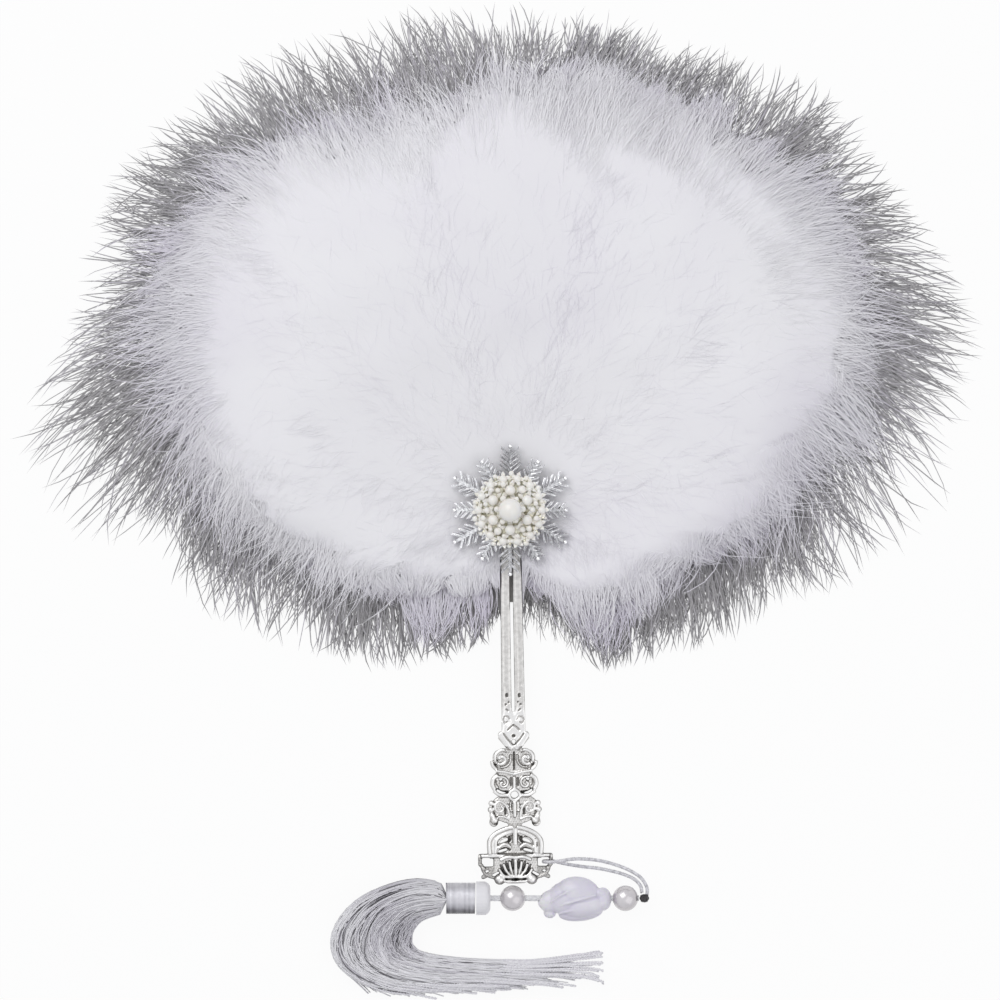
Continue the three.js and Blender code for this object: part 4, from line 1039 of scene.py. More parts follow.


# handle: the casting with its scrolls, melted into one skin, blackened in its hollows and given painted shade
# on its upright faces

handleKit = {
    "voxel": 0.285,
    "plateTop": 4.5,  # the ground between the scrolls
    "gripFrom": 87.0,  # the scrollwork starts here, down the handle's axis
    "gripTo": 136.5,
    "stemTo": 75.0,
    "stemFade": 4,
    "stemDarkening": 0.28,  # darkening of the plain stem
    "ground": 0.2,  # dulling of the plate between the scrolls
    "groundBand": (0.9, 0.7),  # height over the plate at which that starts, and the way it takes
    "earShade": 0.25,  # painted shade on the eyelets beside the foot
    "earFrom": (7.8, 128.0),  # the eyelets lie further out and further down than this
    "footFrom": (9.6, 127.5),  # past this, across or down, are the edges of the foot, whose upright faces get the darkest painted shade
    "wallShade": (0.95, 0.46),  # painted shade on upright faces there, and elsewhere
    "stipple": 0.95,  # pitch of the pits in the ground
    "pitDepth": 0.2,
    "pitDark": 0.4,
    "grooveDark": 0.5,
    "grooveFit": 0.72,  # grooves are cut to this share of their half width
    "grooveShape": (1.25, 1.6),  # breadth of its floor and steepness of its sides
    "hollows": (7, 1.3),  # rounds of smoothing that find a hollow, and depth at which it is black
    "reliefSteps": (0.5, 0.15),  # spacing of the spots along ridges and along beaded wires
    "beadShape": (0.45, 0.55),  # girth of a beaded wire between its beads, and how much more at them
    # beaded wire: places across and down, radius, height of its middle, length of a bead
    "beadedWires": [
        ([(0.8, 117.6), (4.4, 118.6), (7.5, 120.4), (8.5, 122.4), (8.5, 126.4)], 0.46, 5.7, 1.0),
        ([(5.2, 94.9), (2.6, 94.3), (1.3, 92.4), (1.2, 90.2)], 0.4, 5.0, 0.95),
        ([(7.0, 99.6), (6.9, 101.2), (5.9, 102.3)], 0.38, 4.9, 0.9),
        ([(1.2, 106.9), (1.6, 109.4), (1.2, 111.2)], 0.38, 4.9, 0.9),
        ([(1.2, 120.0), (1.4, 122.0), (2.6, 123.2)], 0.38, 5.1, 0.9),
        ([(3.2, 120.6), (5.4, 121.6), (6.2, 123.0)], 0.38, 5.1, 0.9),
        ([(3.3, 64.5), (3.5, 74.5)], 0.28, 7.15, 0.9),
        ([(0.9, 77.4), (1.9, 78.6), (3.2, 78.9), (4.0, 78.0)], 0.3, 7.15, 0.9),
    ],
    # raised work on one side, mirrored: places across and down, radius, height of its middle
    "ridges": [
        ([(3.3, 14), (3.95, 75), (4.2, 83.6)], 0.4, 7.0),
        ([(1.0, 14), (1.0, 73.4), (0.0, 75.2)], 0.34, 7.05),
        ([(0.4, 87.8), (2.6, 86.0), (5.0, 83.2)], 1.2, 6.2),
        ([(6.4, 95.6), (7.8, 94.2), (8.2, 92.4)], 0.75, 4.8),
        ([(2.0, 88.7), (4.5, 88.3), (6.8, 90.1), (6.6, 92.8), (4.6, 93.6), (3.1, 92.2), (4.0, 90.7),
          (5.0, 91.3)], 0.6, 5.9),
        ([(6.8, 96.1), (3.4, 96.5), (0, 97.3)], 0.5, 5.4),
        ([(6.0, 97.6), (7.7, 98.9), (8.1, 101.2), (7.0, 103.3)], 0.85, 5.3),
        ([(5.7, 98.3), (3.7, 98.5), (2.4, 99.9), (3.0, 101.7), (4.7, 101.9), (5.1, 100.6),
          (4.1, 100.2)], 0.48, 5.3),
        ([(0, 98.4), (0, 102.6)], 0.62, 5.3),
        ([(2.4, 105.1), (5.4, 105.0), (7.7, 103.5)], 0.7, 5.2),
        ([(2.0, 113.2), (2.4, 110.6), (3.6, 108.4), (5.6, 107.3), (7.2, 108.6), (6.7, 110.8), (4.9, 111.1),
          (4.2, 109.8), (5.2, 109.1)], 0.48, 5.5),
        ([(1.9, 114.1), (3.8, 113.1), (6.3, 112.9)], 0.55, 5.5),
        ([(0, 107.6), (0, 113.2)], 0.7, 5.5),
        ([(0.6, 116.6), (4.6, 117.7), (8.0, 119.6), (9.5, 121.8), (9.5, 126.6)], 0.85, 6.4),
        ([(1.0, 118.4), (4.2, 119.6), (6.8, 121.4), (7.4, 126.4)], 0.6, 5.6),
        ([(0, 117.2), (0, 123.4)], 0.95, 5.9),
        ([(1.4, 124.4), (3.8, 123.0), (6.5, 124.5)], 0.6, 5.7),
        ([(0, 127.4), (12.7, 127.4)], 0.75, 5.0),
        ([(0, 128.0), (3.4, 127.9), (5.8, 129.0)], 0.7, 5.8),
        ([(0, 135.6), (0, 129.2)], 0.7, 5.6),
        ([(0.5, 135.6), (1.7, 132.6), (2.3, 129.4)], 0.6, 5.5),
        ([(1.0, 135.7), (3.2, 133.4), (4.5, 130.4)], 0.6, 5.4),
        ([(1.6, 135.9), (4.4, 134.7), (6.2, 132.2)], 0.55, 5.3),
        ([(0, 137.0), (3.2, 136.9)], 0.75, 4.8),
        ([(12.5, 130.6), (12.0, 133.0), (10.2, 134.8), (7.8, 135.6)], 0.62, 4.2),
    ],
    # rings and balls: middle across and down, ring radius, radius of its wire, height
    "rings": [
        (2.6, 77.2, 1.0, 0.3, 7.1), (0.0, 105.0, 1.9, 0.6, 5.4),
    ],
    "balls": [
        (7.4, 114.3, 1.4, 5.0), (8.6, 108.0, 1.1, 4.9), (8.8, 110.4, 1.2, 4.9), (8.3, 112.6, 1.1, 4.9),
        (11.9, 132.0, 0.85, 4.2), (5.9, 136.1, 2.1, 4.3),
    ],
    # sunk work: places across and down, half width, depth
    "grooves": [
        ([(2.3, 67.8), (2.3, 68.5)], 0.52, 1.0),
        ([(2.7, 71.5)], 0.46, 0.9),
        ([(1.7, 70.7)], 0.42, 0.9),
        ([(2.6, 73.2), (1.9, 73.9)], 0.34, 0.7),
        ([(1.4, 77.0), (2.0, 76.0), (3.2, 76.0), (3.9, 77.2), (3.2, 78.3), (2.3, 77.9)], 0.34, 0.7),
        ([(0, 79.0), (1.2, 79.9), (2.2, 81.0)], 0.34, 0.8),
        ([(0, 83.1)], 0.8, 1.6),
        ([(2.7, 88.3)], 0.75, 1.6),
        ([(0, 89.4), (0, 95.6)], 0.42, 1.4),
        ([(6.2, 92.4), (6.8, 93.7)], 0.45, 1.4),
        ([(1.3, 98.8), (1.2, 101.8)], 0.3, 0.9),
        ([(2.6, 104.0), (5.0, 103.8), (6.6, 102.9)], 0.42, 1.6),
        ([(3.5, 110.2), (3.4, 112.0)], 0.36, 1.2),
        ([(2.2, 120.4), (2.5, 122.0), (4.7, 122.2)], 0.4, 1.4),
        ([(2.0, 125.2), (3.8, 124.6), (5.6, 125.4)], 0.4, 1.4),
        ([(0.7, 134.4), (1.1, 131.0), (1.2, 129.0)], 0.28, 0.8),
        ([(1.6, 134.2), (2.8, 132.0), (3.5, 129.6)], 0.28, 0.8),
        ([(2.8, 134.6), (4.6, 132.8), (5.5, 130.8)], 0.28, 0.8),
        ([(0, 86.4), (2.1, 84.5), (3.7, 82.2)], 0.3, 0.8),
        ([(0, 136.3), (3.4, 136.0)], 0.4, 1.4),
    ],
}

silverPaint = Paint("silverPaint")
# the silver darkens with patina in its hollows and with painted shade on its upright faces
tarnish = silverPaint.attribute("tarnish")
cloudy = silverPaint.noise(700, 4)
silverPatinaAndShade = silverPaint.ramp(
    tarnish + cloudy * 0.5 - 0.2,
    (0.0, 228, 227, 225),
    (0.3, 205, 203, 200),
    (0.6, 158, 156, 153),
    (1.0, 78, 77, 76),
)
silverPaint.finish({
    "Base Color": silverPatinaAndShade,
    "Metallic": 1.0,
    "Roughness": 0.2 + cloudy * 0.12 + tarnish * 0.2,
    "Normal": silverPaint.bump(silverPaint.noise(420, 3), 0.12, 0.0002),
})


def copyOfNode(node, name):  # a copy of a solid, its loose triangles merged
    copy = copyOf(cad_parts[node], name)
    choose(copy)
    bpy.ops.object.mode_set(mode="EDIT")
    bpy.ops.mesh.select_all(action="SELECT")
    bpy.ops.mesh.remove_doubles(threshold=0.00001)
    bpy.ops.object.mode_set(mode="OBJECT")
    return copy


def handlePlaces(spots):  # across the handle and down it, for places in the frame
    c, s = math.cos(handleLean), math.sin(handleLean)
    right, up = spots[:, 0] - hub[0], spots[:, 1] - hub[1]
    return right * c + up * s, right * s - up * c


def bothSides(points):
    central = all(abs(x) < 0.01 for x, down in points)
    return [points] if central else [points, [(-x, down) for x, down in points]]


def reliefPaths(points, level, step):  # the same line on each side of the handle
    for side in bothSides(points):
        yield evenPath([onHandle(x, down, level) for x, down in side], step)


def reliefTubes(kit):
    tubes = []
    ridgeStep, wireStep = kit["reliefSteps"]
    for points, radius, level in kit["ridges"]:
        tubes += [tubeAlong(path, radius, 10) for path in reliefPaths(points, level, ridgeStep)]
    least, more = kit["beadShape"]
    for points, radius, level, bead in kit["beadedWires"]:
        for path in reliefPaths(points, level, wireStep):
            swelling = np.abs(np.sin(np.pi * (wireStep * np.arange(len(path))) / bead))
            tubes.append(tubeAlong(path, radius * (least + more * swelling), 8))
    turn = np.linspace(0, 2 * np.pi, 28)
    for x, down, radius, wire, level in kit["rings"]:
        for middle in {x, -x}:
            path = [onHandle(middle + radius * math.cos(angle), down + radius * math.sin(angle), level)
                    for angle in turn]
            tubes.append(tubeAlong(np.array(path), wire, 8))
    return tubes


def reliefBalls(kit):
    balls = []
    for x, down, radius, level in kit["balls"]:
        for middle in {x, -x}:
            bpy.ops.mesh.primitive_uv_sphere_add(segments=20, ring_count=12, radius=radius * mm)
            ball = bpy.context.object
            ball.location = metres(onHandle(middle, down, level))
            settle(ball)
            balls.append(ball)
    return balls


def distanceToLine(x, down, points):
    best = np.full(len(x), 1e9)
    line = points if len(points) > 1 else [points[0], points[0]]
    for (x0, d0), (x1, d1) in zip(line[:-1], line[1:]):
        run = (x1 - x0) ** 2 + (d1 - d0) ** 2
        share = np.clip(((x - x0) * (x1 - x0) + (down - d0) * (d1 - d0)) / max(run, 1e-9), 0, 1)
        best = np.minimum(best, np.hypot(x - x0 - share * (x1 - x0), down - d0 - share * (d1 - d0)))
    return best


def neighbourMeans(spots, edges, rounds):  # each point drawn to the middle of its neighbours, several times
    count = np.bincount(edges.ravel(), minlength=len(spots))[:, None]
    for _ in range(rounds):
        total = np.column_stack([
            np.bincount(edges[:, 0], spots[edges[:, 1], axis], len(spots))
            + np.bincount(edges[:, 1], spots[edges[:, 0], axis], len(spots)) for axis in range(3)])
        spots = total / np.maximum(count, 1)
    return spots


def edgesOf(obj):
    flat = np.empty(len(obj.data.edges) * 2, np.int32)
    obj.data.edges.foreach_get("vertices", flat)
    return flat.reshape(-1, 2)


def normalsOf(obj):
    flat = np.empty(len(obj.data.vertices) * 3)
    obj.data.vertex_normals.foreach_get("vector", flat)
    return flat.reshape(-1, 3)


# dark in hollows and, by the share given, where the surface turns away; the hollows are patina on the silver
# and painted shade on the resin bead, and the darkening where the surface turns away is painted shade
def shadeAndPatinaOf(obj, rounds, deep, wall):
    spots, normals = spotsOf(obj), normalsOf(obj)
    sunk = np.einsum("ij,ij->i", neighbourMeans(spots, edgesOf(obj), rounds) - spots, normals)
    paintedWallShade = np.clip((0.96 - np.abs(normals[:, 2])) / 0.75, 0, 1)
    return np.clip(np.maximum(sunk / deep, paintedWallShade * wall), 0, 1)


def pitsAt(x, down, pitch):  # 1 in the middle of each pit of a staggered ground
    row = np.round(down / pitch)
    across = x / pitch + 0.5 * (row % 2)
    return np.exp(-((across - np.round(across)) ** 2 + (down / pitch - row) ** 2) / 0.06)


def carveGrooves(obj, kit):
    spots, normals = spotsOf(obj), normalsOf(obj)
    x, down = handlePlaces(spots)
    facing = normals[:, 2] > 0.1
    dark = np.zeros(len(spots))
    floor, steepness = kit["grooveShape"]
    for points, half, depth in kit["grooves"]:
        for side in bothSides(points):
            near = np.clip(floor - distanceToLine(x, down, side) / (half * kit["grooveFit"]), 0, 1)
            near = np.where(facing, near, 0)
            spots[:, 2] -= depth * np.minimum(near * steepness, 1)
            dark = np.maximum(dark, near)
    ground = (np.abs(spots[:, 2] - kit["plateTop"]) < 0.35) & (normals[:, 2] > 0.8) & (down > kit["gripFrom"])
    pits = np.where(ground, pitsAt(x, down, kit["stipple"]), 0)
    spots[:, 2] -= kit["pitDepth"] * pits
    placeSpots(obj, spots)
    return np.maximum(dark * kit["grooveDark"], pits * kit["pitDark"])


def toneOfHandle(obj, dark, kit):
    spots = spotsOf(obj)
    x, down = handlePlaces(spots)
    rimAcross, rimDown = kit["footFrom"]
    rim = (down > rimDown) | (np.abs(x) > rimAcross)
    # patina in hollows, grooves and pits, with painted shade on upright faces
    tarnish = np.maximum(shadeAndPatinaOf(obj, *kit["hollows"], np.where(rim, *kit["wallShade"])), dark)
    stem = np.clip((kit["stemTo"] - down) / kit["stemFade"], 0, 1) * kit["stemDarkening"]
    over, way = kit["groundBand"]
    depth = np.clip((kit["plateTop"] + over - spots[:, 2]) / way, 0, 1)
    sunk = depth * (down > kit["gripFrom"]) * kit["ground"]
    earAcross, earDown = kit["earFrom"]
    ears = (np.abs(x) > earAcross) & (down > earDown)
    return np.clip(tarnish + stem + sunk + ears * kit["earShade"], 0, 1)


def makeHandle(kit):
    casting = copyOfNode("handle_casting", "handleCasting")
    bpy.ops.object.mode_set(mode="EDIT")
    axis = (math.sin(handleLean), -math.cos(handleLean), 0)
    for down in (kit["gripFrom"], kit["gripFrom"] + 0.3, kit["gripTo"] - 0.3, kit["gripTo"]):
        bpy.ops.mesh.select_all(action="SELECT")
        bpy.ops.mesh.bisect(plane_co=metres(onHandle(0, down, 0)), plane_no=axis)
    bpy.ops.object.mode_set(mode="OBJECT")
    spots = spotsOf(casting)
    down = handlePlaces(spots)[1]
    grip = (down > kit["gripFrom"] + 0.1) & (down < kit["gripTo"] - 0.1) & (spots[:, 2] > kit["plateTop"])
    spots[grip, 2] = kit["plateTop"]
    placeSpots(casting, spots)
    casting = joinAs("handleCasting", [casting, tubesObject("scrolls", reliefTubes(kit)), *reliefBalls(kit)])
    melt(casting, kit["voxel"], 2)
    dark = carveGrooves(casting, kit)
    smooth(casting)
    setAttribute(casting, "tarnish", toneOfHandle(casting, dark, kit))
    dress(casting, silverPaint, "fan", "cast_silver", "handle_casting")
    print("handle cast with", len(casting.data.polygons), "faces")


makeHandle(handleKit)


# boss: felt pad, two snowflakes, filigree cup and its pearls

bossKit = {
    # snowflakes: solid, piece, distance of the arms' tips from the hub, bearing of the first arm
    "flakes": [
        ("snowflake_large", "snowflakeLarge", 23.4, 30),
        ("snowflake_small", "snowflakeSmall", 20.4, 0),
    ],
    "flakeBevel": 0.24,
    "cupBevel": 0.2,
    "tipBead": 0.85,
    "tipSink": 0.2,
    "needles": (13.5, 15.2, 16.9, 18.6, 20.3),  # distances from the hub at which fine needles leave an arm
    "needleAngle": 52,
    "needleLength": (0.42, 1.3),  # share of the way from its foot to the arm's tip, and what is added
    "needleRise": (-0.1, 0.25, 0.1),  # over the flake at its foot, middle and tip
    "needleRadius": 0.22,
    "needleTaper": (1, 0.9, 0.4),
    # how dark the arms are made at a bearing from the hub
    "armDarkness": [
        (-92, 0.5), (-30, 0.5), (0, 0.45), (45, 0.25), (78, 0.6), (102, 0.6), (130, 0.2), (200, 0.12),
        (240, 0.3), (268, 0.5),
    ],
    # small petals round a pearl: how many, distance from its middle, size, tilt, below its middle
    "innerRosette": (5, 2.5, (1.7, 1.0, 0.4), 24, 0.9),
    "seedRosette": (5, 1.7, (1.25, 0.8, 0.32), 28, 0.3),
    "seedRing": (14, 11.6, 3.0),  # pearls on the wire hoop: how many, ring radius, diameter
    "hoopWire": 0.22,
    "seed": 5,
    "petalSize": (2.7, 1.15, 0.34),
    "petalPoint": (0.75, 1.5),  # how much narrower a petal gets towards its point, and how late
    "petalFold": 0.36,
    # petals of the filigree: how many, ring radius, height, tilt in degrees
    "petalRings": [(14, 10.6, 16.6, 24), (12, 6.6, 17.0, 36)],
    # small pearls between the large ones: how many, ring radius, height, diameter, first bearing
    "smallPearls": [
        (6, 8.4, 18.4, 2.7, 0), (14, 13.2, 16.6, 1.9, 12.9), (12, 9.9, 18.9, 1.9, 15), (6, 4.9, 19.4, 2.2, 0),
    ],
    "smallStray": 0.3,
    "smallSizes": (0.75, 1.2),  # shares of that diameter
}

pearlPaint = Paint("pearlPaint")
nacre = pearlPaint.noise(130, 3)
pearlShade = pearlPaint.ramp(nacre, (0.3, 252, 248, 240), (0.55, 254, 252, 247), (0.8, 255, 254, 252))
pearlPaint.finish({
    "Base Color": pearlShade,
    "Roughness": 0.16 + nacre * 0.12,
    "Coat Weight": 0.5,
    "Subsurface Weight": 0.08,
    "Subsurface Radius": (0.001, 0.0008, 0.0006),
})
brightPaint = Paint("brightPaint")
flakeShadeAndDarkening = brightPaint.attribute("tarnish")
paintedGlints = brightPaint.noise(1300, 2)
# the noise scatters painted glints, bright and dark specks, over the flakes' silver
brightShade = brightPaint.ramp(
    flakeShadeAndDarkening + paintedGlints * 1.1 - 0.5,
    (0.0, 246, 246, 246),
    (0.35, 204, 204, 206),
    (1.0, 84, 82, 82),
)
brightPaint.finish({
    "Base Color": brightShade,
    "Metallic": 1.0,
    "Roughness": 0.16 + brightPaint.noise(300, 3) * 0.14,
})
goldPaint = Paint("filigreePaint")
goldShade = goldPaint.ramp(
    goldPaint.noise(420, 3),
    (0.3, 166, 160, 140),
    (0.5, 230, 227, 208),
    (0.75, 248, 247, 236),
)
goldPaint.finish({
    "Base Color": goldShade,
    "Metallic": 0.6,
    "Roughness": 0.22 + goldPaint.noise(500, 2) * 0.2,
})
feltPaint = Paint("feltPaint")
fibres = feltPaint.noise(1400, 6)
feltShade = feltPaint.ramp(fibres, (0.3, 214, 212, 214), (0.7, 246, 245, 246))
feltPaint.finish({"Base Color": feltShade, "Roughness": 0.95, "Normal": feltPaint.bump(fibres, 0.5, 0.0004)})
boardPaint = Paint("boardPaint")
pulp = boardPaint.noise(380, 6)
boardShade = boardPaint.ramp(pulp, (0.3, 196, 194, 190), (0.7, 224, 222, 218))
boardPaint.finish({"Base Color": boardShade, "Roughness": 0.88, "Normal": boardPaint.bump(pulp, 0.3, 0.0003)})


def ballPattern(segments, rings):  # a round pearl with a slightly flattened seat, modelled once
    bpy.ops.mesh.primitive_uv_sphere_add(segments=segments, ring_count=rings, radius=0.5)
    ball = bpy.context.object
    selectOnly(ball, "VERT", lambda vertex: vertex.co.z < -0.47)
    bpy.ops.transform.resize(value=(1, 1, 0))
    bpy.ops.object.mode_set(mode="OBJECT")
    smooth(ball)
    return ball


def ballCopy(pattern, place, diameter, name="ball"):
    copy = copyOf(pattern, name)
    copy.scale = metres([diameter] * 3)
    copy.location = metres(place)
    settle(copy)
    return copy


def ringPlaces(number, radius, level, first=0.0):
    for index in range(number):
        angle = math.radians(first + 360 * index / number)
        yield angle, (hub[0] + radius * math.cos(angle), hub[1] + radius * math.sin(angle), level)


def armNeedles(tipRadius, first, top):  # fine wires in pairs along each arm, shorter towards its tip
    tubes = []
    share, more = bossKit["needleLength"]
    levels = top + np.array(bossKit["needleRise"])
    radii = np.array(bossKit["needleTaper"]) * bossKit["needleRadius"]
    for arm in range(6):
        bearing = first + 60 * arm
        for distance in bossKit["needles"]:
            length = share * (tipRadius - distance) + more
            for side in (-1, 1):
                start = polar(bearing, distance)
                end = start + length * heading(bearing + side * bossKit["needleAngle"])
                path = np.column_stack([[start, (start + end) / 2, end], levels])
                tubes.append(tubeAlong(path, radii, 5))
    return tubes


def armDarkening(obj):
    places, shares = np.array(bossKit["armDarkness"]).T
    return np.interp(bearingOf(spotsOf(obj))[0], places, shares)


def makeSnowflake(node, name, tipRadius, first, pattern):
    flake = copyOfNode(node, name)
    modify(flake, "BEVEL", width=bossKit["flakeBevel"] * mm, segments=2, limit_method="ANGLE")
    applyAll(flake)
    smooth(flake, 50)
    top = spotsOf(flake)[:, 2].max()
    tips = [ballCopy(pattern, place, 2 * bossKit["tipBead"])
            for angle, place in ringPlaces(6, tipRadius, top - bossKit["tipSink"], first)]
    normals = normalsOf(flake)
    # upright faces of the flake get painted shade
    edges = np.clip((0.75 - np.abs(normals[:, 2])) / 0.5, 0, 1)
    setAttribute(flake, "tarnish", np.maximum(edges, armDarkening(flake)))
    needles = tubesObject("needles", armNeedles(tipRadius, first, top))
    setAttribute(needles, "tarnish", armDarkening(needles))
    flake = joinAs(name, [flake, needles, *tips])
    dress(flake, brightPaint, "fan", "bright_silver", node)


def petalPattern():  # one filigree leaf: a flattened ball drawn to a point, with a fold along it
    bpy.ops.mesh.primitive_uv_sphere_add(segments=12, ring_count=8, radius=1)
    leaf = bpy.context.object
    leaf.rotation_euler = (0, math.pi / 2, 0)
    settle(leaf)
    spots = spotsOf(leaf) * mm
    point = np.clip(spots[:, 0], 0, 1)
    narrower, late = bossKit["petalPoint"]
    spots[:, 1] *= 1 - narrower * point ** late
    spots[:, 2] -= bossKit["petalFold"] * (1 - np.abs(spots[:, 1]))
    placeSpots(leaf, spots / mm)
    smooth(leaf)
    return leaf


def leafCopy(leaf, size, tilt, angle, place):
    petal = copyOf(leaf, "petal")
    petal.scale = metres(size)
    petal.rotation_euler = (0, -math.radians(tilt), angle)
    petal.location = metres(place)
    settle(petal)
    return petal


def rosette(leaf, middle, kit, first):
    number, away, size, tilt, below = kit
    petals = []
    for index in range(number):
        angle = first + 2 * math.pi * index / number
        place = (middle[0] + away * math.cos(angle), middle[1] + away * math.sin(angle), middle[2] - below)
        petals.append(leafCopy(leaf, size, tilt, angle, place))
    return petals


def makeCup(leaf):
    cup = copyOfNode("filigree_cup", "filigreeCup")
    modify(cup, "BEVEL", width=bossKit["cupBevel"] * mm, segments=2)
    applyAll(cup)
    smooth(cup, 50)
    parts = [cup]
    for number, radius, level, tilt in bossKit["petalRings"]:
        for angle, place in ringPlaces(number, radius, level, 180 / number):
            parts.append(leafCopy(leaf, bossKit["petalSize"], tilt, angle, place))
    dress(joinAs("filigreeCup", parts), goldPaint, "fan", "bright_silver", "filigree_cup")


def makeBoss(kit):
    rng = np.random.default_rng(kit["seed"])
    large, small = ballPattern(40, 24), ballPattern(20, 12)
    for flake in kit["flakes"]:
        makeSnowflake(*flake, small)
    leaf = petalPattern()
    makeCup(leaf)
    low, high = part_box("centre_pearl")
    pearl = ballCopy(large, (low + high) / 2 / mm, (high.x - low.x) / mm, "centrePearl")
    dress(pearl, pearlPaint, "fan", "ivory_pearl", "centre_pearl")
    seeds = []
    for index in range(6):
        low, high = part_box(f"inner_pearl_{index + 1}")
        middle = (low + high) / 2 / mm
        pearl = ballCopy(large, middle, (high.z - low.z) / mm, f"innerPearl{index + 1}")
        seeds += rosette(leaf, middle, kit["innerRosette"], rng.uniform(*anyTurn))
        dress(pearl, pearlPaint, "fan", "ivory_pearl", f"inner_pearl_{index + 1}")
    low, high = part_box("seed_bead_ring")
    level = (low.z + high.z) / 2 / mm
    number, hoopRadius, diameter = kit["seedRing"]
    for angle, place in ringPlaces(number, hoopRadius, level):
        seeds.append(ballCopy(small, place, diameter))
        seeds += rosette(leaf, place, kit["seedRosette"], rng.uniform(*anyTurn))
    for number, radius, height, diameter, first in kit["smallPearls"]:
        for angle, place in ringPlaces(number, radius, height, first):
            place = place + rng.normal(0, kit["smallStray"], 3)
            seeds.append(ballCopy(small, place, diameter * rng.uniform(*kit["smallSizes"])))
    hoop = np.array([place for angle, place in ringPlaces(64, hoopRadius, level)])
    seeds.append(tubesObject("hoop", [tubeAlong(np.vstack([hoop, hoop[:2]]), kit["hoopWire"], 6)]))
    dress(joinAs("seedBeads", seeds), pearlPaint, "fan", "ivory_pearl", "seed_bead_ring")
    for pattern in (large, small, leaf):
        bpy.data.objects.remove(pattern)
    for node, paint in (("boss_pad", feltPaint), ("rear_patch", feltPaint), ("core_board", boardPaint)):
        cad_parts[node].data.materials.clear()
        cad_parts[node].data.materials.append(paint.material)
    print("boss set with its pearls")


makeBoss(bossKit)


# drop: two pearls, the carved bead and the tassel

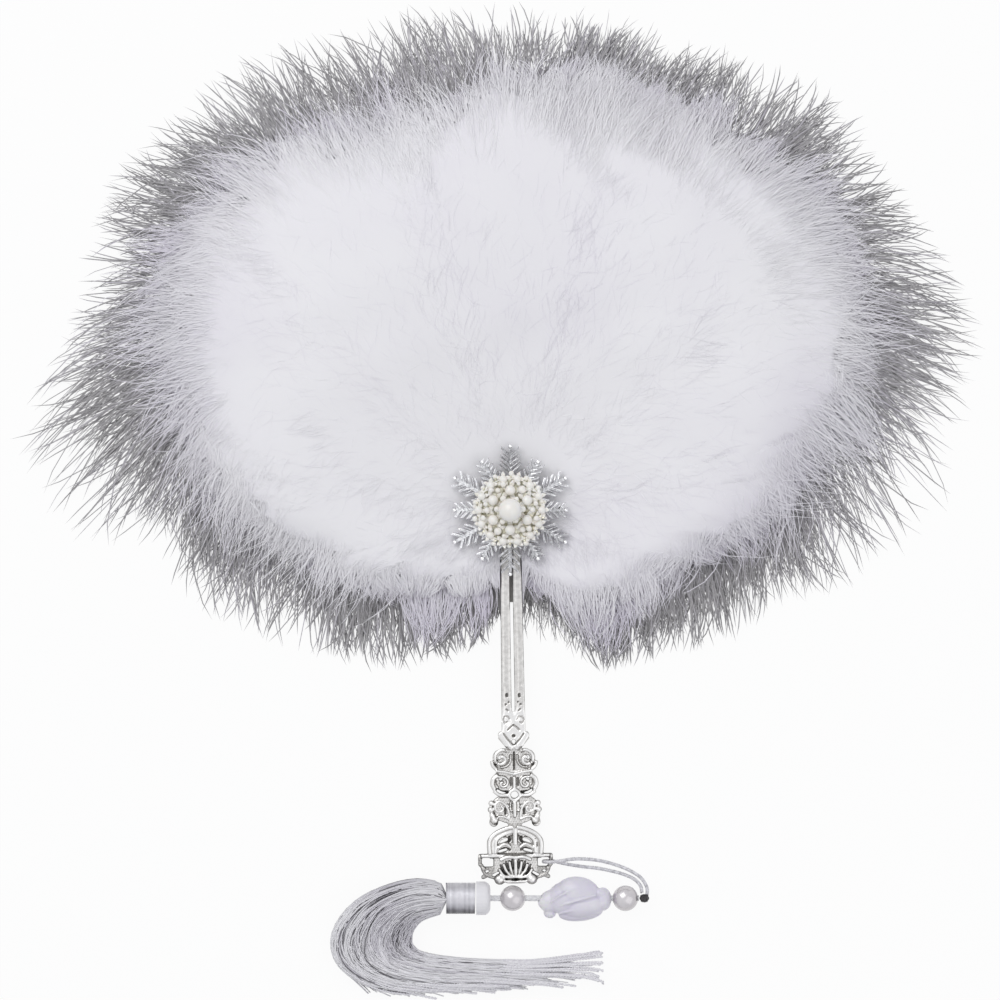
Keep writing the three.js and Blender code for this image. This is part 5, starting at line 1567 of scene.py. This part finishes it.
dropKit = {
    "pearlBore": 1.4,
    "beadVoxel": 0.25,
    "beadBore": 1.4,
    "drillLength": 50,
    "beadHollows": (20, 0.35),  # rounds of smoothing that find a hollow, and depth at which its painted shade is darkest
    # lobes of the carved bead: middle along and beside the string and over it, three radii, turn about Z
    "beadLobes": [
        (22.5, 0.6, 0.0, 9.5, 6.6, 4.9, 14),
        (25.0, 2.2, 0.9, 8.2, 5.9, 4.7, -8),
        (27.0, -2.6, 0.7, 8.4, 4.6, 4.5, 8),
        (26.0, -5.3, -0.6, 8.3, 3.2, 3.6, 6),
        (34.2, -0.3, 0.0, 3.2, 4.3, 3.7, 0),
        (33.4, 1.9, 1.8, 2.7, 1.9, 1.8, -25),
        (33.8, -1.6, 2.2, 2.9, 1.5, 1.5, 30),
        (15.4, -1.0, -0.2, 5.0, 4.2, 3.2, 20),
        (12.6, -1.4, -0.2, 2.4, 2.7, 2.4, 0),
        (14.6, -5.4, -0.8, 2.3, 2.1, 2.0, -20),
    ],
    # raised petal edges over the lobes: places along, beside and over the string
    "beadFolds": [
        [(14.5, -1.5, 3.0), (19.0, 1.8, 4.7), (24.5, 4.4, 4.9), (29.5, 5.2, 3.6)],
        [(16.5, -3.4, 2.6), (21.5, -1.2, 5.0), (27.0, 0.4, 5.5), (31.5, 1.4, 4.0)],
        [(18.0, -5.4, 2.4), (23.5, -4.0, 4.3), (29.0, -3.6, 4.2), (32.8, -3.0, 3.0)],
        [(20.0, 4.6, 3.2), (24.0, 6.4, 3.0), (28.4, 6.6, 2.2)],
    ],
    "foldRadius": 0.5,
    "paleFrom": 17,  # the bead is whitish before this place along the string
    "paleFade": 5,
    "capRibs": 30,
    "capRibDepth": 0.005,  # share of the radius
    "capInsets": (0.044, 0.055, 0.066, 0.11, 0.165, 0.3025),  # rings of the crown, as shares of the radius
    "capFlat": 0.55,  # share of the crown that stays flat
    "capRound": 2.6,
    "capEdge": 0.94,  # the nearer to 1, the steeper the crown ends
    "capTone": 0.05,
    "bindingTurns": 24,
    "bindingThread": 0.46,
    "bindingSpots": 18,  # spots to a turn
    "bindingOver": 0.5,  # height of the thread over the neck
    "bindingUneven": 0.35,
    "neckRadius": 5.3,
    "bindingSpan": (-12.74, -23.74),
    "strands": 720,
    "strandSpots": 26,
    "strandRadius": (0.15, 0.3),
    "neckInside": (0.95, 3.0),  # strands start at this share of the neck's radius, this far in the binding
    "lowShare": 0.4,  # share of the strands that lie low, and heights of those and of the others, -1 to 1
    "lowLie": (-1.0, 0.6),
    "highLie": (0.6, 1.0),
    "strandShort": (0.4, 1.5, 1.6),  # stations it ends early: the least, how much more, power of the draw
    "firstEnd": 7.5,  # no strand ends before this station
    "clear": 0.12,  # height of a strand's underside over the table
    "sway": (0.05, (0.5, 1.1), 3),  # share of the hook, waves to a station, station at which it is full
    "flick": (0.1, 0.15, 1.2),  # tips turn aside: usual and greatest share, stations that it takes
    "bendShade": (0.33, 0.14),  # place along a strand and width of the shade in its bend
    "bendTone": (0.14, 0.26),
    # tones of the strands, and the share of them that has each
    "strandTones": (0.0, 0.05, 0.14, 0.35, 0.8),
    "toneShares": (0.5, 0.27, 0.13, 0.06, 0.04),
    "twists": 44,  # thicker twisted strands that end raggedly
    "twistWidth": 1.1,
    "twistPitch": 2.2,
    "twistStep": 0.55,
    "twistInward": 1.4,  # the larger, the more of them lie at the hook's inner edge
    "twistEnd": (-0.2, 0.1),
    "twistLie": (0.7, 1.0),
    "twistLength": 1.8,  # stations
    "twistLift": 0.7,
    "twistTones": (0.0, 0.2),
    "tailFrom": 8.2,  # the outermost strands end at this station, the innermost at the last
    "tailBlunt": 0.6,  # the larger, the more strands reach the last station
    "tailPower": 1.6,
    "coreTo": 11.0,  # the bulk under the strands ends at this station
    "coreTaper": 4,  # stations over which it narrows
    "coreShare": 0.84,
    "coreTone": 0.08,
    "seed": 23,
    # the hook at each station: its inner and outer edge, as distances left of the binding and down,
    # and its depth as a share of the skirt's
    "hook": [
        ((2, 6), (2, -6), 1), ((7, 7.6), (11.5, -7.2), 1), ((9.6, 9), (22.6, -4.6), 1),
        ((11.2, 11.4), (33, 0.6), 1), ((12.2, 14), (40.3, 8.8), 0.98), ((12.2, 16.4), (42.6, 17), 0.94),
        ((11, 18.6), (39.6, 25.2), 0.9), ((7.5, 20), (31, 31.4), 0.86), ((1.5, 21.2), (19, 34.9), 0.8),
        ((-8, 22.2), (2, 35.2), 0.74), ((-20, 22.8), (-16, 34.2), 0.66), ((-34, 22.8), (-34, 33.2), 0.54),
        ((-58, 19.6), (-58, 32.2), 0.4),
    ],
    "skirtDepth": 6.0,
    "skirtFloor": 0.1,
}

whitePearlPaint = Paint("whitePearlPaint")
lustre = whitePearlPaint.noise(90, 3)
lustreShade = whitePearlPaint.ramp(lustre, (0.3, 196, 191, 194), (0.55, 210, 206, 208), (0.8, 222, 219, 221))
whitePearlPaint.finish({
    "Base Color": lustreShade,
    "Roughness": 0.2 + lustre * 0.1,
    "Metallic": 0.5,
    "Coat Weight": 0.6,
})
resinPaint = Paint("resinPaint")
veil = resinPaint.noise(110, 4)
# the carved bead's hollows get painted shade, a darker lavender
resinHollowShade = resinPaint.attribute("tarnish")
resinShade = resinPaint.mix(
    resinHollowShade * 0.7,
    resinPaint.ramp(veil, (0.3, 226, 222, 236), (0.6, 234, 231, 241), (0.8, 244, 243, 247)),
    srgb(198, 192, 216),
)
resinShade = resinPaint.mix(resinPaint.attribute("pale"), resinShade, srgb(240, 239, 243))
resinPaint.finish({
    "Base Color": resinShade,
    "Roughness": 0.3 + veil * 0.12,
    "Coat Weight": 0.25,
    "Subsurface Weight": 0.35,
    "Subsurface Radius": (0.003, 0.0025, 0.0035),
})
silkPaint = Paint("silkPaint")
strandTone = silkPaint.attribute("tone")
silkShade = silkPaint.ramp(
    strandTone + silkPaint.noise(260, 2) * 0.12 - 0.06,
    (0.0, 250, 249, 252),
    (0.35, 218, 215, 223),
    (0.65, 150, 147, 154),
    (1.0, 46, 44, 48),
)
silkPaint.finish({"Base Color": silkShade, "Roughness": 0.38, "Sheen Weight": 0.2, "Coat Weight": 0.08})
threadPaint = Paint("threadPaint")
threadShade = threadPaint.ramp(
    threadPaint.attribute("tarnish") + threadPaint.noise(400, 2) * 0.2 - 0.1,
    (0.0, 232, 231, 235),
    (0.35, 204, 203, 208),
    (0.9, 84, 82, 88),
)
threadPaint.finish({"Base Color": threadShade, "Metallic": 0.5, "Roughness": 0.3})


def boredPearl(name, node, body):  # ball with both poles opened and joined by a bore
    low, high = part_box(node)
    radius = (high.y - low.y) / 2
    bpy.ops.mesh.primitive_uv_sphere_add(segments=48, ring_count=40, radius=radius)
    pearl = bpy.context.object
    bore = dropKit["pearlBore"] * mm
    selectOnly(pearl, "VERT", lambda vertex: math.hypot(vertex.co.x, vertex.co.y) < bore)
    bpy.ops.mesh.delete(type="VERT")
    bpy.ops.mesh.select_all(action="DESELECT")
    bpy.ops.mesh.select_mode(type="EDGE")
    bpy.ops.mesh.select_non_manifold()
    bpy.ops.mesh.bridge_edge_loops()
    bpy.ops.mesh.select_all(action="SELECT")
    bpy.ops.mesh.normals_make_consistent(inside=False)
    bpy.ops.mesh.select_mode(type="VERT")
    bpy.ops.object.mode_set(mode="OBJECT")
    pearl.rotation_euler = (0, math.pi / 2, 0)
    pearl.location = (low + high) / 2
    settle(pearl)
    smooth(pearl, 50)
    pearl.name = name
    return dress(pearl, whitePearlPaint, body, "white_pearl", node)


def makeCarvedBead(kit):
    lobes = []
    for along, beside, over, *radii, turn in kit["beadLobes"]:
        bpy.ops.mesh.primitive_uv_sphere_add(segments=28, ring_count=18, radius=1)
        lobe = bpy.context.object
        lobe.scale = metres(radii)
        lobe.rotation_euler = (0, 0, math.radians(turn))
        lobe.location = metres((along, stringY + beside, stringZ + over))
        settle(lobe)
        lobes.append(lobe)
    folds = []
    for points in kit["beadFolds"]:
        path = evenPath([(along, stringY + beside, stringZ + over) for along, beside, over in points], 0.6)
        taper = kit["foldRadius"] * (0.5 + 0.5 * np.sin(np.linspace(0.1, 3.0, len(path))))
        folds.append(tubeAlong(path, taper, 8))
    bead = joinAs("carvedBead", [*lobes, tubesObject("folds", folds)])
    melt(bead, kit["beadVoxel"], 4)
    low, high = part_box("carved_bead")
    radius, depth = metres((kit["beadBore"], kit["drillLength"]))
    bpy.ops.mesh.primitive_cylinder_add(vertices=24, radius=radius, depth=depth)
    drill = bpy.context.object
    drill.rotation_euler = (0, math.pi / 2, 0)
    drill.location = ((low.x + high.x) / 2, stringY * mm, stringZ * mm)
    settle(drill)
    modify(bead, "BOOLEAN", operation="DIFFERENCE", object=drill)
    applyAll(bead)
    bpy.data.objects.remove(drill)
    smooth(bead, 60)
    # painted shade in the bead's hollows
    setAttribute(bead, "tarnish", shadeAndPatinaOf(bead, *kit["beadHollows"], 0.0))
    setAttribute(bead, "pale", np.clip((kit["paleFrom"] - spotsOf(bead)[:, 0]) / kit["paleFade"], 0, 1))
    dress(bead, resinPaint, "flower_bead", "lavender_resin", "carved_bead")


def makeCap(kit):  # silk cap: a turned drum with fine folds
    low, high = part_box("tassel_cap")
    radius = (high.y - low.y) / 2
    length = high.x - low.x
    bpy.ops.mesh.primitive_cylinder_add(vertices=4 * kit["capRibs"], radius=radius, depth=length)
    cap = bpy.context.object
    selectOnly(cap, "FACE", lambda face: face.normal.z > 0.9)
    for inset in kit["capInsets"]:
        bpy.ops.mesh.inset(thickness=inset * radius, depth=0)
    bpy.ops.mesh.select_mode(type="VERT")
    bpy.ops.object.mode_set(mode="OBJECT")
    spots = spotsOf(cap)
    across = np.hypot(spots[:, 0], spots[:, 1])
    angle = np.arctan2(spots[:, 1], spots[:, 0])
    crown = spots[:, 2] > 0
    share = np.clip((across / (radius / mm) - kit["capFlat"]) / (1 - kit["capFlat"]), 0, 1)
    spots[:, 2] -= np.where(crown, kit["capRound"] * (1 - np.sqrt(1 - kit["capEdge"] * share ** 2)), 0)
    ribs = 1 - kit["capRibDepth"] * (1 - np.cos(kit["capRibs"] * angle))
    spots[:, 0] *= ribs
    spots[:, 1] *= ribs
    placeSpots(cap, spots)
    cap.rotation_euler = (0, math.pi / 2, 0)
    cap.location = (low + high) / 2
    settle(cap)
    smooth(cap, 60)
    cap.name = "tasselCap"
    setAttribute(cap, "tone", np.full(len(cap.data.vertices), kit["capTone"]))
    dress(cap, silkPaint, "tassel", "silk", "tassel_cap")


def makeBinding(kit):  # silver thread wound close round the neck
    start, end = kit["bindingSpan"]
    half = kit["bindingThread"] / 2
    turns = kit["bindingTurns"]
    share = np.linspace(0, 1, kit["bindingSpots"] * turns + 1)
    angle = 2 * np.pi * turns * share
    radius = kit["neckRadius"] + kit["bindingOver"] - half
    spots = np.column_stack([
        start - half + (end - start + 2 * half) * share,
        stringY + radius * np.cos(angle),
        stringZ + radius * np.sin(angle),
    ])
    binding = tubesObject("tasselBinding", [tubeAlong(spots, half * 1.04, 6)])
    smooth(binding)
    low = (stringY - spotsOf(binding)[:, 1]) / radius  # the side that lies lowest gets the most painted shade
    rng = np.random.default_rng(kit["seed"])
    uneven = np.interp(share * turns, np.arange(turns + 1), rng.random(turns + 1))
    # painted shade on the lowest side and a little on the top side, with a random tone to each turn
    paintedShade = np.clip(low * 0.9 - 0.1, 0, 1) + np.clip(-low - 0.6, 0, 1) * 0.5
    setAttribute(binding, "tarnish", paintedShade + kit["bindingUneven"] * np.repeat(uneven, 6) ** 2)
    dress(binding, threadPaint, "tassel", "silver_thread", "tassel_binding")


def hookTable(kit):  # inner edge, outer edge and half depth of the hook, smoothed between the stations
    edge = kit["bindingSpan"][1]
    rows = []
    for (innerLeft, innerDown), (outerLeft, outerDown), share in kit["hook"]:
        rows.append((edge - innerLeft, stringY - innerDown, edge - outerLeft, stringY - outerDown,
                     kit["skirtDepth"] * share))
    rows = np.array(rows)
    rows = np.vstack([2 * rows[0] - rows[1], rows, 2 * rows[-1] - rows[-2]])
    t = np.linspace(0, 1, 12, endpoint=False)[:, None]
    fine = []
    for a, b, c, d in zip(rows[:-3], rows[1:-2], rows[2:-1], rows[3:]):
        fine.append(b + 0.5 * t * (c - a + t * (2 * a - 5 * b + 4 * c - d + t * (3 * (b - c) + d - a))))
    return np.linspace(0, len(rows) - 3, 12 * len(fine) + 1), np.vstack([*fine, rows[-2]])


def lastStation(kit, inward):  # inward is 0 at the hook's inner edge and 1 at its outer edge
    end = len(kit["hook"]) - 1
    blunt = end + kit["tailBlunt"]
    return min(end, blunt - (blunt - kit["tailFrom"]) * inward ** kit["tailPower"])


def strandPath(kit, table, rng, inward, over, start, end, number):
    stations, rows = table
    at = np.linspace(start, end, 80)
    row = np.column_stack([np.interp(at, stations, rows[:, column]) for column in range(5)])
    last = len(kit["hook"]) - 1 + kit["tailBlunt"]
    # strands that end further on keep within this share of the hook
    widest = np.clip((last - at) / (last - kit["tailFrom"]), 0.02, 1) ** (1 / kit["tailPower"])
    mix = np.clip(inward / widest, 0, 1)
    amount, waves, full = kit["sway"]
    sway = amount * np.sin(at * rng.uniform(*waves) + rng.uniform(*anyTurn)) * np.clip(at / full, 0, 1)
    usual, most, way = kit["flick"]
    flick = np.clip(rng.normal(0, usual), -most, most) * np.clip((at - end + way) / way, 0, 1) ** 2
    mix = np.clip(mix + sway + flick, 0.01, 0.99 + abs(flick))
    drift = np.clip(2 * mix - 1, -0.98, 0.98)
    x = row[:, 0] + (row[:, 2] - row[:, 0]) * mix
    y = row[:, 1] + (row[:, 3] - row[:, 1]) * mix
    z = kit["skirtFloor"] + row[:, 4] * (1 + over * np.sqrt(1 - drift ** 2) * 0.95)
    path = np.column_stack([x, y, z])
    if start == 0:  # the strand comes out of the binding
        across = 2 * inward - 1
        share, inside = kit["neckInside"]
        reach = share * kit["neckRadius"]
        level = stringZ + reach * over * math.sqrt(1 - across ** 2)
        path = np.vstack([(kit["bindingSpan"][1] + inside, stringY - reach * across, level), path])
    return spacedEvenly(path, number or max(4, round(travelAlong(path)[-1] / kit["twistStep"])))


def hookCore(kit, table):  # the bulk under the strands: a bent tube that keeps inside them
    stations, rows = table
    rows = rows[stations <= kit["coreTo"]]
    narrowing = np.clip((kit["coreTo"] - stations[:len(rows)]) / kit["coreTaper"], 0.002, 1)
    taper = np.sqrt(narrowing) * kit["coreShare"]
    angle = np.linspace(0, 2 * np.pi, 24, endpoint=False)
    middle = (rows[:, :2] + rows[:, 2:4]) / 2
    half = (rows[:, 2:4] - rows[:, :2]) / 2 * taper[:, None]
    plan = middle[:, None] + half[:, None] * np.cos(angle)[None, :, None]
    level = kit["skirtFloor"] + rows[:, 4:] * (1 + taper[:, None] * np.sin(angle))
    points = np.concatenate([plan, level[:, :, None]], axis=2).reshape(-1, 3)
    core = meshObject("core", points * mm, tubeFaces(len(rows), len(angle)))
    choose(core)
    bpy.ops.object.mode_set(mode="EDIT")
    bpy.ops.mesh.select_all(action="SELECT")
    bpy.ops.mesh.normals_make_consistent(inside=False)
    bpy.ops.object.mode_set(mode="OBJECT")
    smooth(core)
    setAttribute(core, "tone", np.full(len(points), kit["coreTone"]))
    return core


def makeSkirt(kit):
    rng = np.random.default_rng(kit["seed"])
    table = hookTable(kit)
    tubes, tones = [], []
    for _ in range(kit["strands"]):
        inward = rng.random()
        lie = kit["lowLie"] if rng.random() < kit["lowShare"] else kit["highLie"]
        over = rng.uniform(*lie)
        least, more, power = kit["strandShort"]
        end = max(lastStation(kit, inward) - least - more * rng.random() ** power, kit["firstEnd"])
        path = strandPath(kit, table, rng, inward, over, 0, end, kit["strandSpots"])
        radius = rng.uniform(*kit["strandRadius"])
        path[:, 2] = np.maximum(path[:, 2], radius + kit["clear"])
        tubes.append(tubeAlong(path, radius, 3))
        base = rng.choice(kit["strandTones"], p=kit["toneShares"])
        along = np.linspace(0, 1, len(path))
        place, width = kit["bendShade"]
        least, more = kit["bendTone"]
        bend = np.exp(-((along - place) / width) ** 2) * (least + more * rng.random())
        tones.append(np.repeat(np.clip(base + bend, 0, 1), 3))
    for _ in range(kit["twists"]):
        inward = rng.random() ** kit["twistInward"]
        end = lastStation(kit, inward) + rng.uniform(*kit["twistEnd"])
        over = rng.uniform(*kit["twistLie"])
        path = strandPath(kit, table, rng, inward, over, end - kit["twistLength"], end, 0)
        least = kit["twistWidth"] / 2 + kit["clear"]
        path[:, 2] = np.maximum(path[:, 2], least) + np.linspace(0, kit["twistLift"], len(path))
        for points, faces in ropeStrands(path, kit["twistWidth"], 2, kit["twistPitch"], 5):
            tubes.append((points, faces))
            tones.append(np.full(len(points), rng.uniform(*kit["twistTones"])))
    skirt = tubesObject("tasselSkirt", tubes)
    smooth(skirt)
    setAttribute(skirt, "tone", np.concatenate(tones))
    core = hookCore(kit, table)
    skirt = joinAs("tasselSkirt", [skirt, core])
    dress(skirt, silkPaint, "tassel", "silk", "tassel_skirt")


def makeDrop(kit):
    boredPearl("upperPearl", "pearl_upper", "upper_pearl")
    boredPearl("lowerPearl", "pearl_lower", "lower_pearl")
    makeCarvedBead(kit)
    makeCap(kit)
    makeBinding(kit)
    makeSkirt(kit)
    print("drop strung with its beads and tassel")


makeDrop(dropKit)
